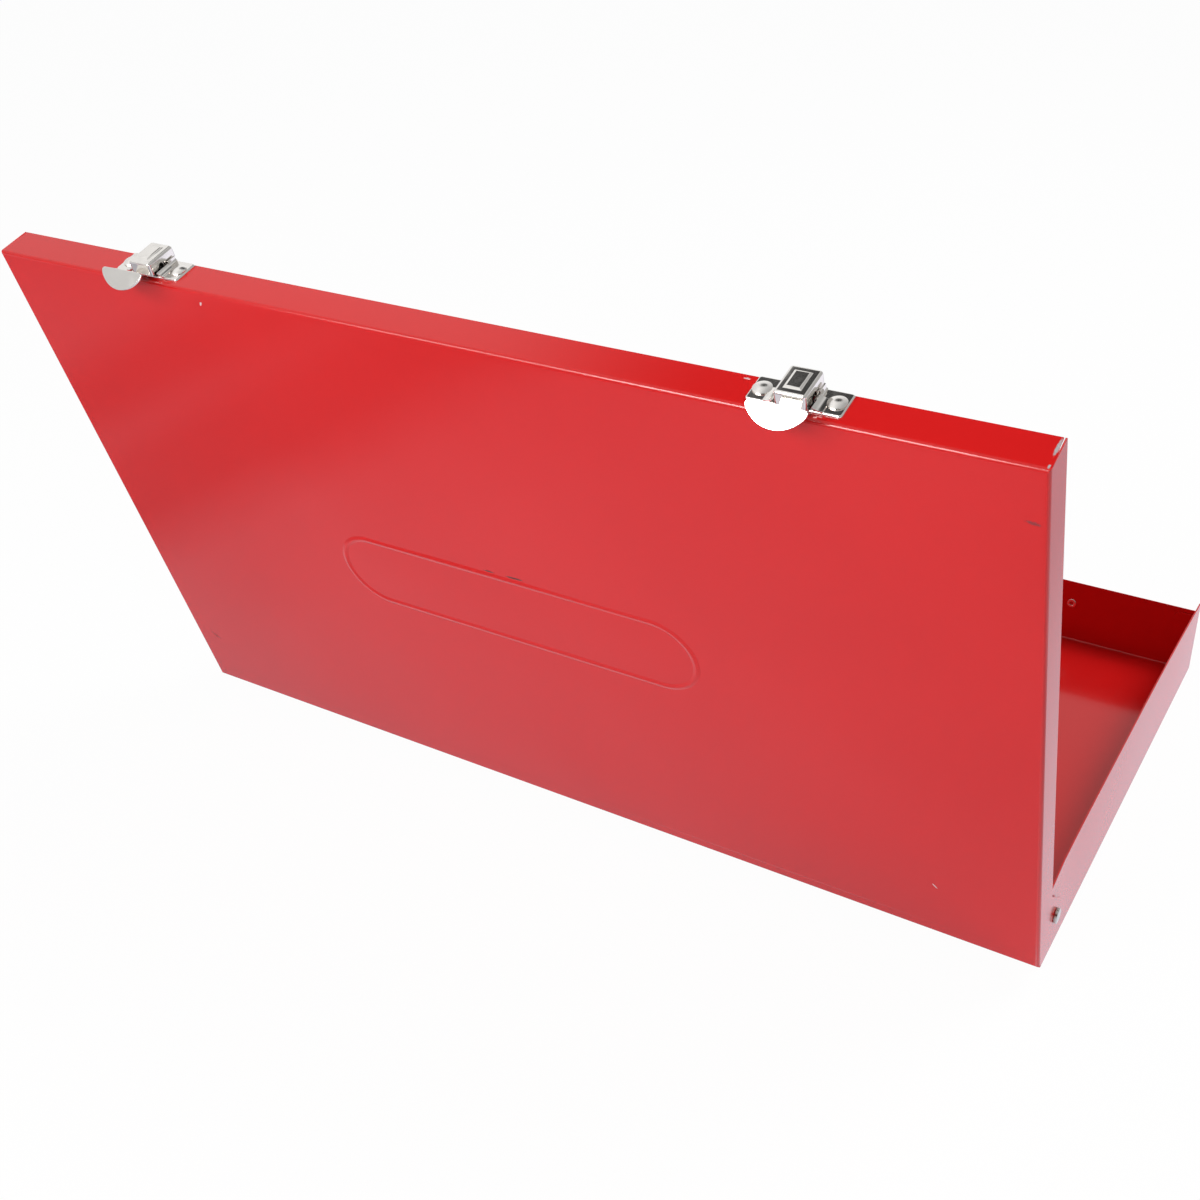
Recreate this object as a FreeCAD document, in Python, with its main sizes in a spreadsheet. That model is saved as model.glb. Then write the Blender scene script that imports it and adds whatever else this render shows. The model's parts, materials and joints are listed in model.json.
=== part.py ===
import FreeCAD, Part
import math
import os
import Sketcher

# A shallow tool case of painted sheet steel: a tray, and a lid whose walls slip over the tray's.
# The lid turns on two rivets at the rear corners and stops, thrown back, when its rear flange meets the tray.
# Two rocking snap latches on the lid's front wall catch keepers riveted to the tray's front wall.
# Frame: millimetres, +X along the hinge, latches towards -Y, +Z up, origin on the underside below the lid's middle.
# Everything on the lid is drawn with the lid shut, then swung open about the hinge to the pose of rest.

DRIVING_SIZES = [
    ("lid_length", 536.0, "lid outside, along the hinge"),
    ("lid_width", 322.0, "lid outside, from hinge side to latch side"),
    ("closed_height", 54.2, "underside of the tray to the top of the shut lid"),
    ("lid_depth", 18.5, "lid walls, from the top of the lid to their rim"),
    ("gauge", 0.8, "steel sheet of tray and lid"),
    ("wall_gap", 1.0, "between a lid wall and the tray wall inside it"),
    ("rear_setback", 3.8, "tray's rear wall, further in from the lid's than the other walls are"),
    ("bend_radius", 2.0, "outside radius of the folds between floor or top and walls"),
    ("side_clearance", 3.7, "top of the tray's side and rear walls, below the inside of the shut lid"),
    ("front_clearance", 9.8, "top of the tray's front wall, below the inside of the shut lid"),
    ("tab_width", 14.0, "welded corner tabs inside the tray"),
    ("tab_margin", 3.0, "corner tabs, from the floor's bend and from the top of the wall they are welded to"),
    ("seam_width", 1.3, "open lid corner seam at the rim"),
    ("pivot_from_rear", 13.0, "hinge axis, in from the lid's rear face"),
    ("pivot_depth", 24.0, "hinge axis below the top of the shut lid"),
    ("open_angle", 107.8, "lid thrown back against its stop, in degrees"),
    ("stop_gap", 0.3, "lid's rear flange to the tray's rear wall when open"),
    ("ear_margin", 10.3, "hinge ear beyond the hinge axis, away from the lid's top"),
    ("ear_tip", 1.0, "end of the ear's outer edge, ahead of the hinge axis"),
    ("ear_root", 23.0, "root of the ear on the rim, ahead of the hinge axis"),
    ("ear_corner", 3.0, "rounded corners of the ear"),
    ("hinge_shank", 2.5, "hinge rivet shank radius"),
    ("hinge_head", 3.95, "hinge rivet head radius"),
    ("hinge_head_height", 2.3, "hinge rivet head height"),
    ("hinge_tail", 3.8, "hinge rivet closed end radius"),
    ("hinge_bore", 1.4, "hinge rivet end bore radius"),
    ("hinge_play", 0.1, "end play under the hinge rivet's head"),
    ("washer_radius", 5.5, "hinge washer outside radius"),
    ("washer_play", 0.2, "hinge washer to lid ear"),
    ("ease", 0.05, "radial clearance of a pin or shank in its hole"),
    ("emboss_length", 213.0, "pressed outline on the lid's top, along the hinge"),
    ("emboss_width", 49.0, "pressed outline across"),
    ("emboss_line", 2.4, "width of the pressed line"),
    ("emboss_height", 0.4, "height of the pressed line"),
    ("emboss_from_rear", 156.0, "middle of the pressed outline from the lid's rear face"),
    ("latch_inset", 99.3, "middle of a latch from the end of the lid"),
    ("plate_length", 40.0, "latch plate along the wall"),
    ("plate_height", 14.2, "latch plate up the wall, from the rim"),
    ("plate_gauge", 1.0, "sheet of latch plates and keepers"),
    ("rivet_pitch", 31.0, "between the two rivets of a latch plate"),
    ("rivet_shank", 1.6, "small rivet shank radius"),
    ("rivet_head", 4.0, "small rivet head radius"),
    ("rivet_head_height", 1.9, "small rivet head height"),
    ("rivet_tail", 3.0, "small rivet closed end radius"),
    ("rivet_bore", 0.9, "small rivet end bore radius"),
    ("bore_depth", 1.2, "bore in the closed end of a rivet"),
    ("tail_thickness", 0.5, "closed end of a rivet"),
    ("claw_gauge", 1.0, "sheet of the latch claw"),
    ("claw_width", 13.6, "claw box outside, along the wall"),
    ("claw_stand", 8.2, "claw box outside, out from the wall"),
    ("claw_height", 16.4, "claw box outside, up the wall"),
    ("claw_overhang", 1.7, "claw box below the lid's rim"),
    ("claw_clear", 1.6, "claw sides out from the wall beside the pin"),
    ("claw_lift", 2.6, "claw sides out from the wall at the lip"),
    ("claw_heel", 2.1, "lower end of the claw's upper face, out from the wall"),
    ("lip_reach", 4.9, "tip of the claw's lip, out from the wall"),
    ("pin_rise", 8.3, "latch pin axis above the rim"),
    ("pin_stand", 2.4, "latch pin axis out from the wall"),
    ("pin_radius", 2.0, "tubular latch pin outside radius"),
    ("pin_bore", 1.3, "tubular latch pin bore radius"),
    ("pin_inset", 0.2, "latch pin ends inside the claw's sides"),
    ("lug_gap", 0.4, "between a plate lug and the claw's side"),
    ("lug_margin", 1.4, "lug sheet left around the pin"),
    ("guide_gap", 0.3, "between a plate guide and the claw's side"),
    ("guide_height", 3.0, "guide ears, out from the plate"),
    ("guide_length", 5.4, "guide ears, up from the rim"),
    ("frame_margin", 2.4, "pressed frame on the claw, in from the claw's edges"),
    ("frame_line", 1.1, "width of the pressed frame"),
    ("frame_height", 0.4, "height of the pressed frame"),
    ("neck_width", 9.0, "neck between claw and thumb tab"),
    ("neck_out", 8.1, "neck run out from the wall"),
    ("neck_up", 10.8, "neck run up past the lid's top"),
    ("thumb_half_width", 12.4, "half-moon thumb tab, middle to corner"),
    ("thumb_drop", 9.0, "half-moon thumb tab, straight edge to crown"),
    ("thumb_tilt", 45.0, "thumb tab's lean over the lid, in degrees"),
    ("spring_gauge", 0.5, "strip of the latch spring"),
    ("spring_width", 6.0, "latch spring along the pin"),
    ("spring_arm", 2.4, "arm of the latch spring, up past its foot"),
    ("spring_lift", 1.0, "arm of the latch spring, out past its bridge"),
    ("keeper_gap", 0.9, "keeper plate's top edge below the lid's rim"),
    ("keeper_length", 46.0, "keeper plate along the wall"),
    ("keeper_height", 14.2, "keeper plate up the wall"),
    ("keeper_pitch", 36.0, "between the two rivets of a keeper"),
    ("tongue_width", 9.0, "keeper tongue along the wall"),
    ("tongue_gap", 0.5, "keeper tongue to latch plate when shut"),
    ("tongue_root", 2.4, "foot of the keeper tongue below the rim"),
    ("nose_catch", 2.0, "hooked nose of the keeper tongue, out from the tongue"),
    ("nose_rise", 1.0, "room over the claw's lip, under the hooked nose"),
    ("nose_clear", 0.4, "nose to claw lip while the claw is at rest"),
]

doc = FreeCAD.newDocument("tool_case")
sheet = doc.addObject("Spreadsheet::Sheet", "Sizes")
for row, (alias, value, meaning) in enumerate(DRIVING_SIZES, start=1):
    sheet.set("A%d" % row, meaning)
    sheet.set("B%d" % row, str(value))
    sheet.setAlias("B%d" % row, alias)
doc.recompute()


class Size:
    """A length or angle that holds its value and the sheet expression which gives it."""

    def __init__(self, value, text):
        self.value = value
        self.text = text

    def __add__(self, other):
        other = as_size(other)
        return Size(self.value + other.value, "(%s + %s)" % (self.text, other.text))

    def __sub__(self, other):
        other = as_size(other)
        return Size(self.value - other.value, "(%s - %s)" % (self.text, other.text))

    def __mul__(self, other):
        other = as_size(other)
        return Size(self.value * other.value, "(%s * %s)" % (self.text, other.text))

    def __truediv__(self, other):
        other = as_size(other)
        return Size(self.value / other.value, "(%s / %s)" % (self.text, other.text))

    def __neg__(self):
        return Size(-self.value, "(0 - %s)" % self.text)

    __radd__ = __add__
    __rmul__ = __mul__


def as_size(number):
    """Let a plain number stand beside sizes."""
    if isinstance(number, Size):
        return number
    return Size(float(number), "%g" % number)


def size(alias):
    return Size(float(sheet.get(alias)), "Sizes.%s" % alias)


def cosine(angle):
    return Size(math.cos(math.radians(angle.value)), "cos(%s * 1 deg)" % angle.text)


def sine(angle):
    return Size(math.sin(math.radians(angle.value)), "sin(%s * 1 deg)" % angle.text)


ZERO = as_size(0)
nodes = []


# Drawing helpers

def new_body(label):
    body = doc.addObject("PartDesign::Body", label)
    body.Label = label
    nodes.append(body)
    return body


def sketch_on(body, name, role, offset=ZERO):
    """A sketch on one of the body's own planes, moved along that plane's normal."""
    plane = next(feature for feature in body.Origin.OriginFeatures if feature.Role == role)
    drawing = body.newObject("Sketcher::SketchObject", name)
    drawing.AttachmentSupport = [(plane, "")]
    drawing.MapMode = "FlatFace"
    drawing.setExpression("AttachmentOffset.Base.z", offset.text)
    return drawing


def tie(drawing, constraint, length):
    """Add a dimension to a sketch and bind it to its expression."""
    index = drawing.addConstraint(constraint)
    drawing.setExpression("Constraints[%d]" % index, length.text)


def outline(drawing, corners, arcs=None):
    """A closed loop, drawn anticlockwise; arcs gives the radius of the round run that leaves a corner."""
    arcs = arcs or {}
    first = drawing.GeometryCount
    points = [FreeCAD.Vector(across.value, up.value, 0) for across, up in corners]
    for index, start in enumerate(points):
        end = points[(index + 1) % len(points)]
        if index in arcs:
            radius = arcs[index].value
            chord = end - start
            middle = (start + end) * 0.5
            inward = FreeCAD.Vector(-chord.y, chord.x, 0).normalize()
            centre = middle + inward * math.sqrt(max(radius ** 2 - (chord.Length / 2) ** 2, 0.0))
            circle_line = Part.Circle(centre, FreeCAD.Vector(0, 0, 1), radius)
            from_angle = math.atan2(start.y - centre.y, start.x - centre.x)
            to_angle = math.atan2(end.y - centre.y, end.x - centre.x)
            drawing.addGeometry(Part.ArcOfCircle(circle_line, from_angle, to_angle), False)
        else:
            drawing.addGeometry(Part.LineSegment(start, end), False)
    for index, (across, up) in enumerate(corners):
        here = first + index
        following = first + (index + 1) % len(corners)
        drawing.addConstraint(Sketcher.Constraint("Coincident", here, 2, following, 1))
        tie(drawing, Sketcher.Constraint("DistanceX", -1, 1, here, 1, across.value), across)
        tie(drawing, Sketcher.Constraint("DistanceY", -1, 1, here, 1, up.value), up)
    for index, radius in arcs.items():
        tie(drawing, Sketcher.Constraint("Radius", first + index, radius.value), radius)


def rectangle(drawing, low, high):
    outline(drawing, [low, (high[0], low[1]), high, (low[0], high[1])])


def circle(drawing, across, up, radius):
    centre = FreeCAD.Vector(across.value, up.value, 0)
    index = drawing.addGeometry(Part.Circle(centre, FreeCAD.Vector(0, 0, 1), radius.value), False)
    tie(drawing, Sketcher.Constraint("DistanceX", -1, 1, index, 3, across.value), across)
    tie(drawing, Sketcher.Constraint("DistanceY", -1, 1, index, 3, up.value), up)
    tie(drawing, Sketcher.Constraint("Radius", index, radius.value), radius)


def stadium(drawing, middle_up, length, width):
    """A long outline with half-round ends, each drawn as two quarter turns."""
    round_end = width / 2
    straight = length / 2 - round_end
    low = middle_up - round_end
    high = middle_up + round_end
    corners = [
        (-straight, low),
        (straight, low),
        (length / 2, middle_up),
        (straight, high),
        (-straight, high),
        (-(length / 2), middle_up),
    ]
    outline(drawing, corners, {1: round_end, 2: round_end, 4: round_end, 5: round_end})


def pad(body, drawing, length, symmetric=False, backwards=False):
    feature = body.newObject("PartDesign::Pad", drawing.Name + "_pad")
    feature.Profile = drawing
    feature.Midplane = symmetric
    feature.Reversed = backwards
    feature.setExpression("Length", length.text)
    doc.recompute()
    return feature


def pocket(body, drawing, length):
    """Cut half the length to each side of the sketch, and make sure that something was cut."""
    volume_before = body.Shape.Volume
    feature = body.newObject("PartDesign::Pocket", drawing.Name + "_cut")
    feature.Profile = drawing
    feature.Midplane = True
    feature.setExpression("Length", length.text)
    doc.recompute()
    if not body.Shape.Volume < volume_before:
        raise ValueError("%s cuts nothing" % feature.Name)
    return feature


def round_edges(body, name, radius, wanted):
    """Fillet the edges of the body's last feature that the test picks."""
    last = body.Tip
    chosen = ["Edge%d" % (index + 1) for index, edge in enumerate(last.Shape.Edges) if wanted(edge)]
    feature = body.newObject("PartDesign::Fillet", name)
    feature.Base = (last, chosen)
    feature.setExpression("Radius", radius.text)
    doc.recompute()
    return feature


def hollow(body, name, thickness, is_open):
    """Turn a block into a sheet shell that is open at the faces which the test picks."""
    last = body.Tip
    open_faces = ["Face%d" % (index + 1) for index, face in enumerate(last.Shape.Faces) if is_open(face)]
    feature = body.newObject("PartDesign::Thickness", name)
    feature.Base = (last, open_faces)
    feature.Reversed = True
    feature.setExpression("Value", thickness.text)
    doc.recompute()
    return feature


def flat_at(height):
    """A test for the edges and faces that lie flat at one height."""
    def test(shape):
        box = shape.BoundBox
        return box.ZLength < 1e-6 and abs(box.ZMin - height.value) < 1e-6
    return test


# Places shared by several pieces, all for the shut case

gauge = size("gauge")
lid_half_length = size("lid_length") / 2
lid_front = -(size("lid_width") / 2)
lid_rear = size("lid_width") / 2
lid_top = size("closed_height")
rim = lid_top - size("lid_depth")
wall_inset = gauge + size("wall_gap")
tray_half_length = lid_half_length - wall_inset
tray_front = lid_front + wall_inset
rear_inset = wall_inset + size("rear_setback")
tray_rear = lid_rear - rear_inset
pivot_y = lid_rear - size("pivot_from_rear")
pivot_z = lid_top - size("pivot_depth")
side_top = lid_top - gauge - size("side_clearance")
front_top = lid_top - gauge - size("front_clearance")
ease = size("ease")
plate_gauge = size("plate_gauge")
latch_x = lid_half_length - size("latch_inset")
keeper_top = rim - size("keeper_gap")
keeper_rivet_z = keeper_top - size("keeper_height") / 2
plate_rivet_z = rim + size("plate_height") / 2
plate_face = lid_front - plate_gauge
keeper_face = tray_front - plate_gauge
SIDES = {"left": -1, "right": 1}

# The rear flange of the lid is as deep as it can be and still let the lid lean back to its open angle.
open_angle = size("open_angle")
flange_arm = size("pivot_from_rear") - rear_inset + size("stop_gap")
flange_drop = (flange_arm - size("pivot_from_rear") * cosine(open_angle)) / sine(open_angle)
rear_flange_edge = pivot_z + flange_drop

hinge_axis = FreeCAD.Vector(0, pivot_y.value, pivot_z.value)
swing_open = FreeCAD.Rotation(FreeCAD.Vector(1, 0, 0), -open_angle.value)
lid_swing = FreeCAD.Placement(FreeCAD.Vector(0, 0, 0), swing_open, hinge_axis)


# Tray

def make_tray():
    """The pan: floor, front wall and rear wall folded from one sheet, open at both ends."""
    tray = new_body("base_tray")
    inner_half = tray_half_length - gauge
    block = sketch_on(tray, "tray_block", "XY_Plane")
    rectangle(block, (-inner_half, tray_front), (inner_half, tray_rear))
    pad(tray, block, side_top)

    def long_floor_edge(edge):
        return flat_at(ZERO)(edge) and edge.BoundBox.XLength > 1e-6

    def top_or_end(face):
        return flat_at(side_top)(face) or face.BoundBox.XLength < 1e-6

    round_edges(tray, "tray_floor_bends", size("bend_radius"), long_floor_edge)
    hollow(tray, "tray_sheet", gauge, top_or_end)

    front_cut = sketch_on(tray, "tray_front_cut", "XZ_Plane", -(tray_front + gauge / 2))
    rectangle(front_cut, (-tray_half_length, front_top), (tray_half_length, side_top + gauge))
    pocket(tray, front_cut, gauge * 2)

    tab_foot = size("bend_radius") + size("tab_margin")
    walls = {
        "front": (tray_front + gauge * 1.5, front_top),
        "rear": (tray_rear - gauge * 1.5, side_top),
    }
    for wall, (middle_y, wall_top) in walls.items():
        for side, sign in SIDES.items():
            tab = sketch_on(tray, "tray_tab_%s_%s" % (wall, side), "XZ_Plane", -middle_y)
            ends = [inner_half * sign, (inner_half - size("tab_width")) * sign]
            low, high = sorted(ends, key=lambda end: end.value)
            rectangle(tab, (low, tab_foot), (high, wall_top - size("tab_margin")))
            pad(tray, tab, gauge, symmetric=True)

    keeper_holes = sketch_on(tray, "tray_keeper_holes", "XZ_Plane", -(tray_front + gauge / 2))
    for sign in SIDES.values():
        for end in SIDES.values():
            hole_x = latch_x * sign + size("keeper_pitch") / 2 * end
            circle(keeper_holes, hole_x, keeper_rivet_z, size("rivet_shank") + ease)
    pocket(tray, keeper_holes, gauge * 2)


def make_tray_end(side, sign):
    """A flat end wall, welded to the pan, with the hole for the hinge rivet."""
    end_wall = new_body("tray_end_" + side)
    bend = size("bend_radius")
    face = sketch_on(end_wall, "tray_end_face_" + side, "YZ_Plane", (tray_half_length - gauge / 2) * sign)
    corners = [
        (tray_front + bend, ZERO),
        (tray_rear - bend, ZERO),
        (tray_rear, bend),
        (tray_rear, side_top),
        (tray_front, side_top),
        (tray_front, bend),
    ]
    outline(face, corners, {1: bend, 5: bend})
    circle(face, pivot_y, pivot_z, size("hinge_shank") + ease)
    pad(end_wall, face, gauge, symmetric=True)


# Lid

def make_lid():
    lid = new_body("lid_shell")
    block = sketch_on(lid, "lid_block", "XY_Plane", rim)
    rectangle(block, (-lid_half_length, lid_front), (lid_half_length, lid_rear))
    pad(lid, block, size("lid_depth"))
    round_edges(lid, "lid_top_bends", size("bend_radius"), flat_at(lid_top))
    hollow(lid, "lid_sheet", gauge, flat_at(rim))

    rear_cut = sketch_on(lid, "lid_rear_cut", "XZ_Plane", -(lid_rear - gauge / 2))
    inner_half = lid_half_length - gauge
    rectangle(rear_cut, (-inner_half, rim - gauge), (inner_half, rear_flange_edge))
    pocket(lid, rear_cut, gauge * 1.5)

    ear_edge = pivot_z - size("ear_margin")
    ear_front = pivot_y - size("ear_tip")
    ear_start = pivot_y - size("ear_root")
    for side, sign in SIDES.items():
        middle_x = (lid_half_length - gauge / 2) * sign
        ear = sketch_on(lid, "lid_ear_" + side, "YZ_Plane", middle_x)
        outline(ear, [(ear_start, rim), (ear_front, ear_edge), (lid_rear, ear_edge), (lid_rear, rim)])
        pad(lid, ear, gauge, symmetric=True)

    def ear_corner(edge):
        box = edge.BoundBox
        across = abs(box.XLength - gauge.value) < 1e-6 and box.YLength < 1e-6 and box.ZLength < 1e-6
        return across and abs(box.ZMin - ear_edge.value) < 1e-6

    round_edges(lid, "lid_ear_corners", size("ear_corner"), ear_corner)

    hinge_holes = sketch_on(lid, "lid_hinge_holes", "YZ_Plane")
    circle(hinge_holes, pivot_y, pivot_z, size("hinge_shank") + ease)
    pocket(lid, hinge_holes, lid_half_length * 2 + gauge)

    seams = {"front": (lid_front, rim), "rear": (lid_rear, rear_flange_edge)}
    seam_head = lid_top - size("bend_radius")
    for wall, (face_y, wall_foot) in seams.items():
        inner = face_y + gauge / 2 if wall == "front" else face_y - gauge / 2
        for side, sign in SIDES.items():
            seam = sketch_on(lid, "lid_seam_%s_%s" % (wall, side), "XZ_Plane", -inner)
            corner_x = inner_half * sign
            foot_x = (inner_half - size("seam_width")) * sign
            loop = [(corner_x, seam_head), (foot_x, wall_foot), (corner_x, wall_foot)]
            outline(seam, loop if sign > 0 else loop[::-1])
            pocket(lid, seam, gauge * 1.2)

    rivet_holes = sketch_on(lid, "lid_latch_holes", "XZ_Plane", -(lid_front + gauge / 2))
    for sign in SIDES.values():
        for end in SIDES.values():
            hole_x = latch_x * sign + size("rivet_pitch") / 2 * end
            circle(rivet_holes, hole_x, plate_rivet_z, size("rivet_shank") + ease)
    pocket(lid, rivet_holes, gauge * 2)

    emboss = sketch_on(lid, "lid_emboss", "XY_Plane", lid_top)
    emboss_middle = lid_rear - size("emboss_from_rear")
    stadium(emboss, emboss_middle, size("emboss_length"), size("emboss_width"))
    line = size("emboss_line") * 2
    stadium(emboss, emboss_middle, size("emboss_length") - line, size("emboss_width") - line)
    pad(lid, emboss, size("emboss_height"))
    lid.Placement = lid_swing


# Rivets and washers

def make_rivet(label, head, head_height, shank, grip, tail, bore, placement):
    """A domed rivet along +Z: the head's underside at 0, the closed, bored end below the grip."""
    body = new_body(label)
    profile = sketch_on(body, label + "_profile", "XZ_Plane")
    end = -(grip + size("tail_thickness"))
    bore_top = end + size("bore_depth")
    dome = (head * head + head_height * head_height) / (head_height * 2)
    corners = [
        (ZERO, bore_top),
        (bore, bore_top),
        (bore, end),
        (tail, end),
        (tail, -grip),
        (shank, -grip),
        (shank, ZERO),
        (head, ZERO),
        (ZERO, head_height),
    ]
    outline(profile, corners, {7: dome})
    turned = body.newObject("PartDesign::Revolution", label + "_turned")
    turned.Profile = profile
    turned.ReferenceAxis = (profile, ["V_Axis"])
    turned.Angle = 360
    doc.recompute()
    body.Placement = placement


def pointing(direction, x, y, z):
    """A placement that stands a rivet's +Z along a direction, with its head's underside at a point."""
    turn = FreeCAD.Rotation(FreeCAD.Vector(0, 0, 1), direction)
    return FreeCAD.Placement(FreeCAD.Vector(x.value, y.value, z.value), turn)


def make_hinge(side, sign):
    out = FreeCAD.Vector(sign, 0, 0)
    head_seat = lid_half_length + size("hinge_play")
    grip = head_seat - tray_half_length + gauge
    make_rivet(
        "hinge_rivet_" + side, size("hinge_head"), size("hinge_head_height"), size("hinge_shank"), grip,
        size("hinge_tail"), size("hinge_bore"), pointing(out, head_seat * sign, pivot_y, pivot_z))
    washer = new_body("hinge_washer_" + side)
    thickness = size("wall_gap") - size("washer_play")
    ring = sketch_on(washer, "washer_ring_" + side, "YZ_Plane", (tray_half_length + thickness / 2) * sign)
    circle(ring, pivot_y, pivot_z, size("washer_radius"))
    circle(ring, pivot_y, pivot_z, size("hinge_shank") + ease)
    pad(washer, ring, thickness, symmetric=True)


def make_small_rivets(kind, side, sign, pitch, seat_y, height, placement):
    """The pair of rivets of one latch plate or keeper, heads towards the front."""
    for place, end in {"outer": sign, "inner": -sign}.items():
        rivet_x = latch_x * sign + size(pitch) / 2 * end
        seat = pointing(FreeCAD.Vector(0, -1, 0), rivet_x, seat_y, height)
        make_rivet(
            "%s_rivet_%s_%s" % (kind, side, place), size("rivet_head"), size("rivet_head_height"),
            size("rivet_shank"), plate_gauge + gauge, size("rivet_tail"), size("rivet_bore"),
            placement.multiply(seat))


# Latches: places out from the lid's front face and up from its rim

def outward(distance):
    return lid_front - distance


def above_rim(distance):
    return rim + distance


claw_foot = -size("claw_overhang")
claw_head = claw_foot + size("claw_height")
claw_half = size("claw_width") / 2
claw_inner = claw_half - size("claw_gauge")
pin_y = outward(size("pin_stand"))
pin_z = above_rim(size("pin_rise"))


def make_latch_plate(side, sign):
    plate = new_body("latch_plate_" + side)
    centre = latch_x * sign
    half = size("plate_length") / 2
    sheet_face = sketch_on(plate, "plate_sheet_" + side, "XZ_Plane", -(lid_front - plate_gauge / 2))
    rectangle(sheet_face, (centre - half, rim), (centre + half, rim + size("plate_height")))
    pad(plate, sheet_face, plate_gauge, symmetric=True)

    lug_half = size("pin_radius") + size("lug_margin")
    lug_top = outward(size("pin_stand") + lug_half)
    lug_middle = claw_inner - size("lug_gap") - plate_gauge / 2
    guide_middle = claw_half + size("guide_gap") + plate_gauge / 2
    root = outward(plate_gauge / 2)
    guide_tip = outward(plate_gauge + size("guide_height"))
    for place, end in SIDES.items():
        lug = sketch_on(plate, "plate_lug_%s_%s" % (side, place), "YZ_Plane", centre + lug_middle * end)
        rectangle(lug, (lug_top, pin_z - lug_half), (root, pin_z + lug_half))
        pad(plate, lug, plate_gauge, symmetric=True)
        guide = sketch_on(plate, "plate_guide_%s_%s" % (side, place), "YZ_Plane", centre + guide_middle * end)
        guide_top = rim + size("guide_length")
        outline(guide, [(guide_tip, rim), (root, rim), (root, guide_top)])
        pad(plate, guide, plate_gauge, symmetric=True)

    pin_hole = sketch_on(plate, "plate_pin_hole_" + side, "YZ_Plane", centre)
    circle(pin_hole, pin_y, pin_z, size("pin_radius") + ease)
    pocket(plate, pin_hole, size("claw_width"))
    window = sketch_on(plate, "plate_window_" + side, "XZ_Plane", -(lid_front - plate_gauge / 2))
    half_window = size("pin_radius") + ease
    rectangle(window, (centre - claw_half, pin_z - half_window), (centre + claw_half, pin_z + half_window))
    pocket(plate, window, plate_gauge)

    holes = sketch_on(plate, "plate_holes_" + side, "XZ_Plane", -(lid_front - plate_gauge / 2))
    for end in SIDES.values():
        circle(holes, centre + size("rivet_pitch") / 2 * end, plate_rivet_z, size("rivet_shank") + ease)
    pocket(plate, holes, plate_gauge * 2)
    plate.Placement = lid_swing


def make_latch_pin(side, sign):
    pin = new_body("latch_pin_" + side)
    tube = sketch_on(pin, "pin_tube_" + side, "YZ_Plane", latch_x * sign)
    circle(tube, pin_y, pin_z, size("pin_radius"))
    circle(tube, pin_y, pin_z, size("pin_bore"))
    pad(pin, tube, size("claw_width") - size("pin_inset") * 2, symmetric=True)
    pin.Placement = lid_swing


def make_latch_spring(side, sign):
    """The return spring: a bent strip astride the pin, its feet on the plate and an arm under the claw."""
    spring = new_body("latch_spring_" + side)
    strip = size("spring_gauge")
    inside = size("pin_radius") + ease
    seat = outward(plate_gauge)
    bridge = pin_y - inside
    arm_tip = bridge - strip - size("spring_lift")
    arm_end = pin_z + inside + strip + size("spring_arm")
    bent = sketch_on(spring, "spring_strip_" + side, "YZ_Plane", latch_x * sign)
    outline(bent, [
        (seat, pin_z - inside - strip),
        (seat, pin_z - inside),
        (bridge, pin_z - inside),
        (bridge, pin_z + inside),
        (seat, pin_z + inside),
        (seat, pin_z + inside + strip),
        (bridge, pin_z + inside + strip),
        (arm_tip + strip, arm_end),
        (arm_tip, arm_end),
        (bridge - strip, pin_z + inside),
        (bridge - strip, pin_z - inside - strip),
    ])
    pad(spring, bent, size("spring_width"), symmetric=True)
    spring.Placement = lid_swing


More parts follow.
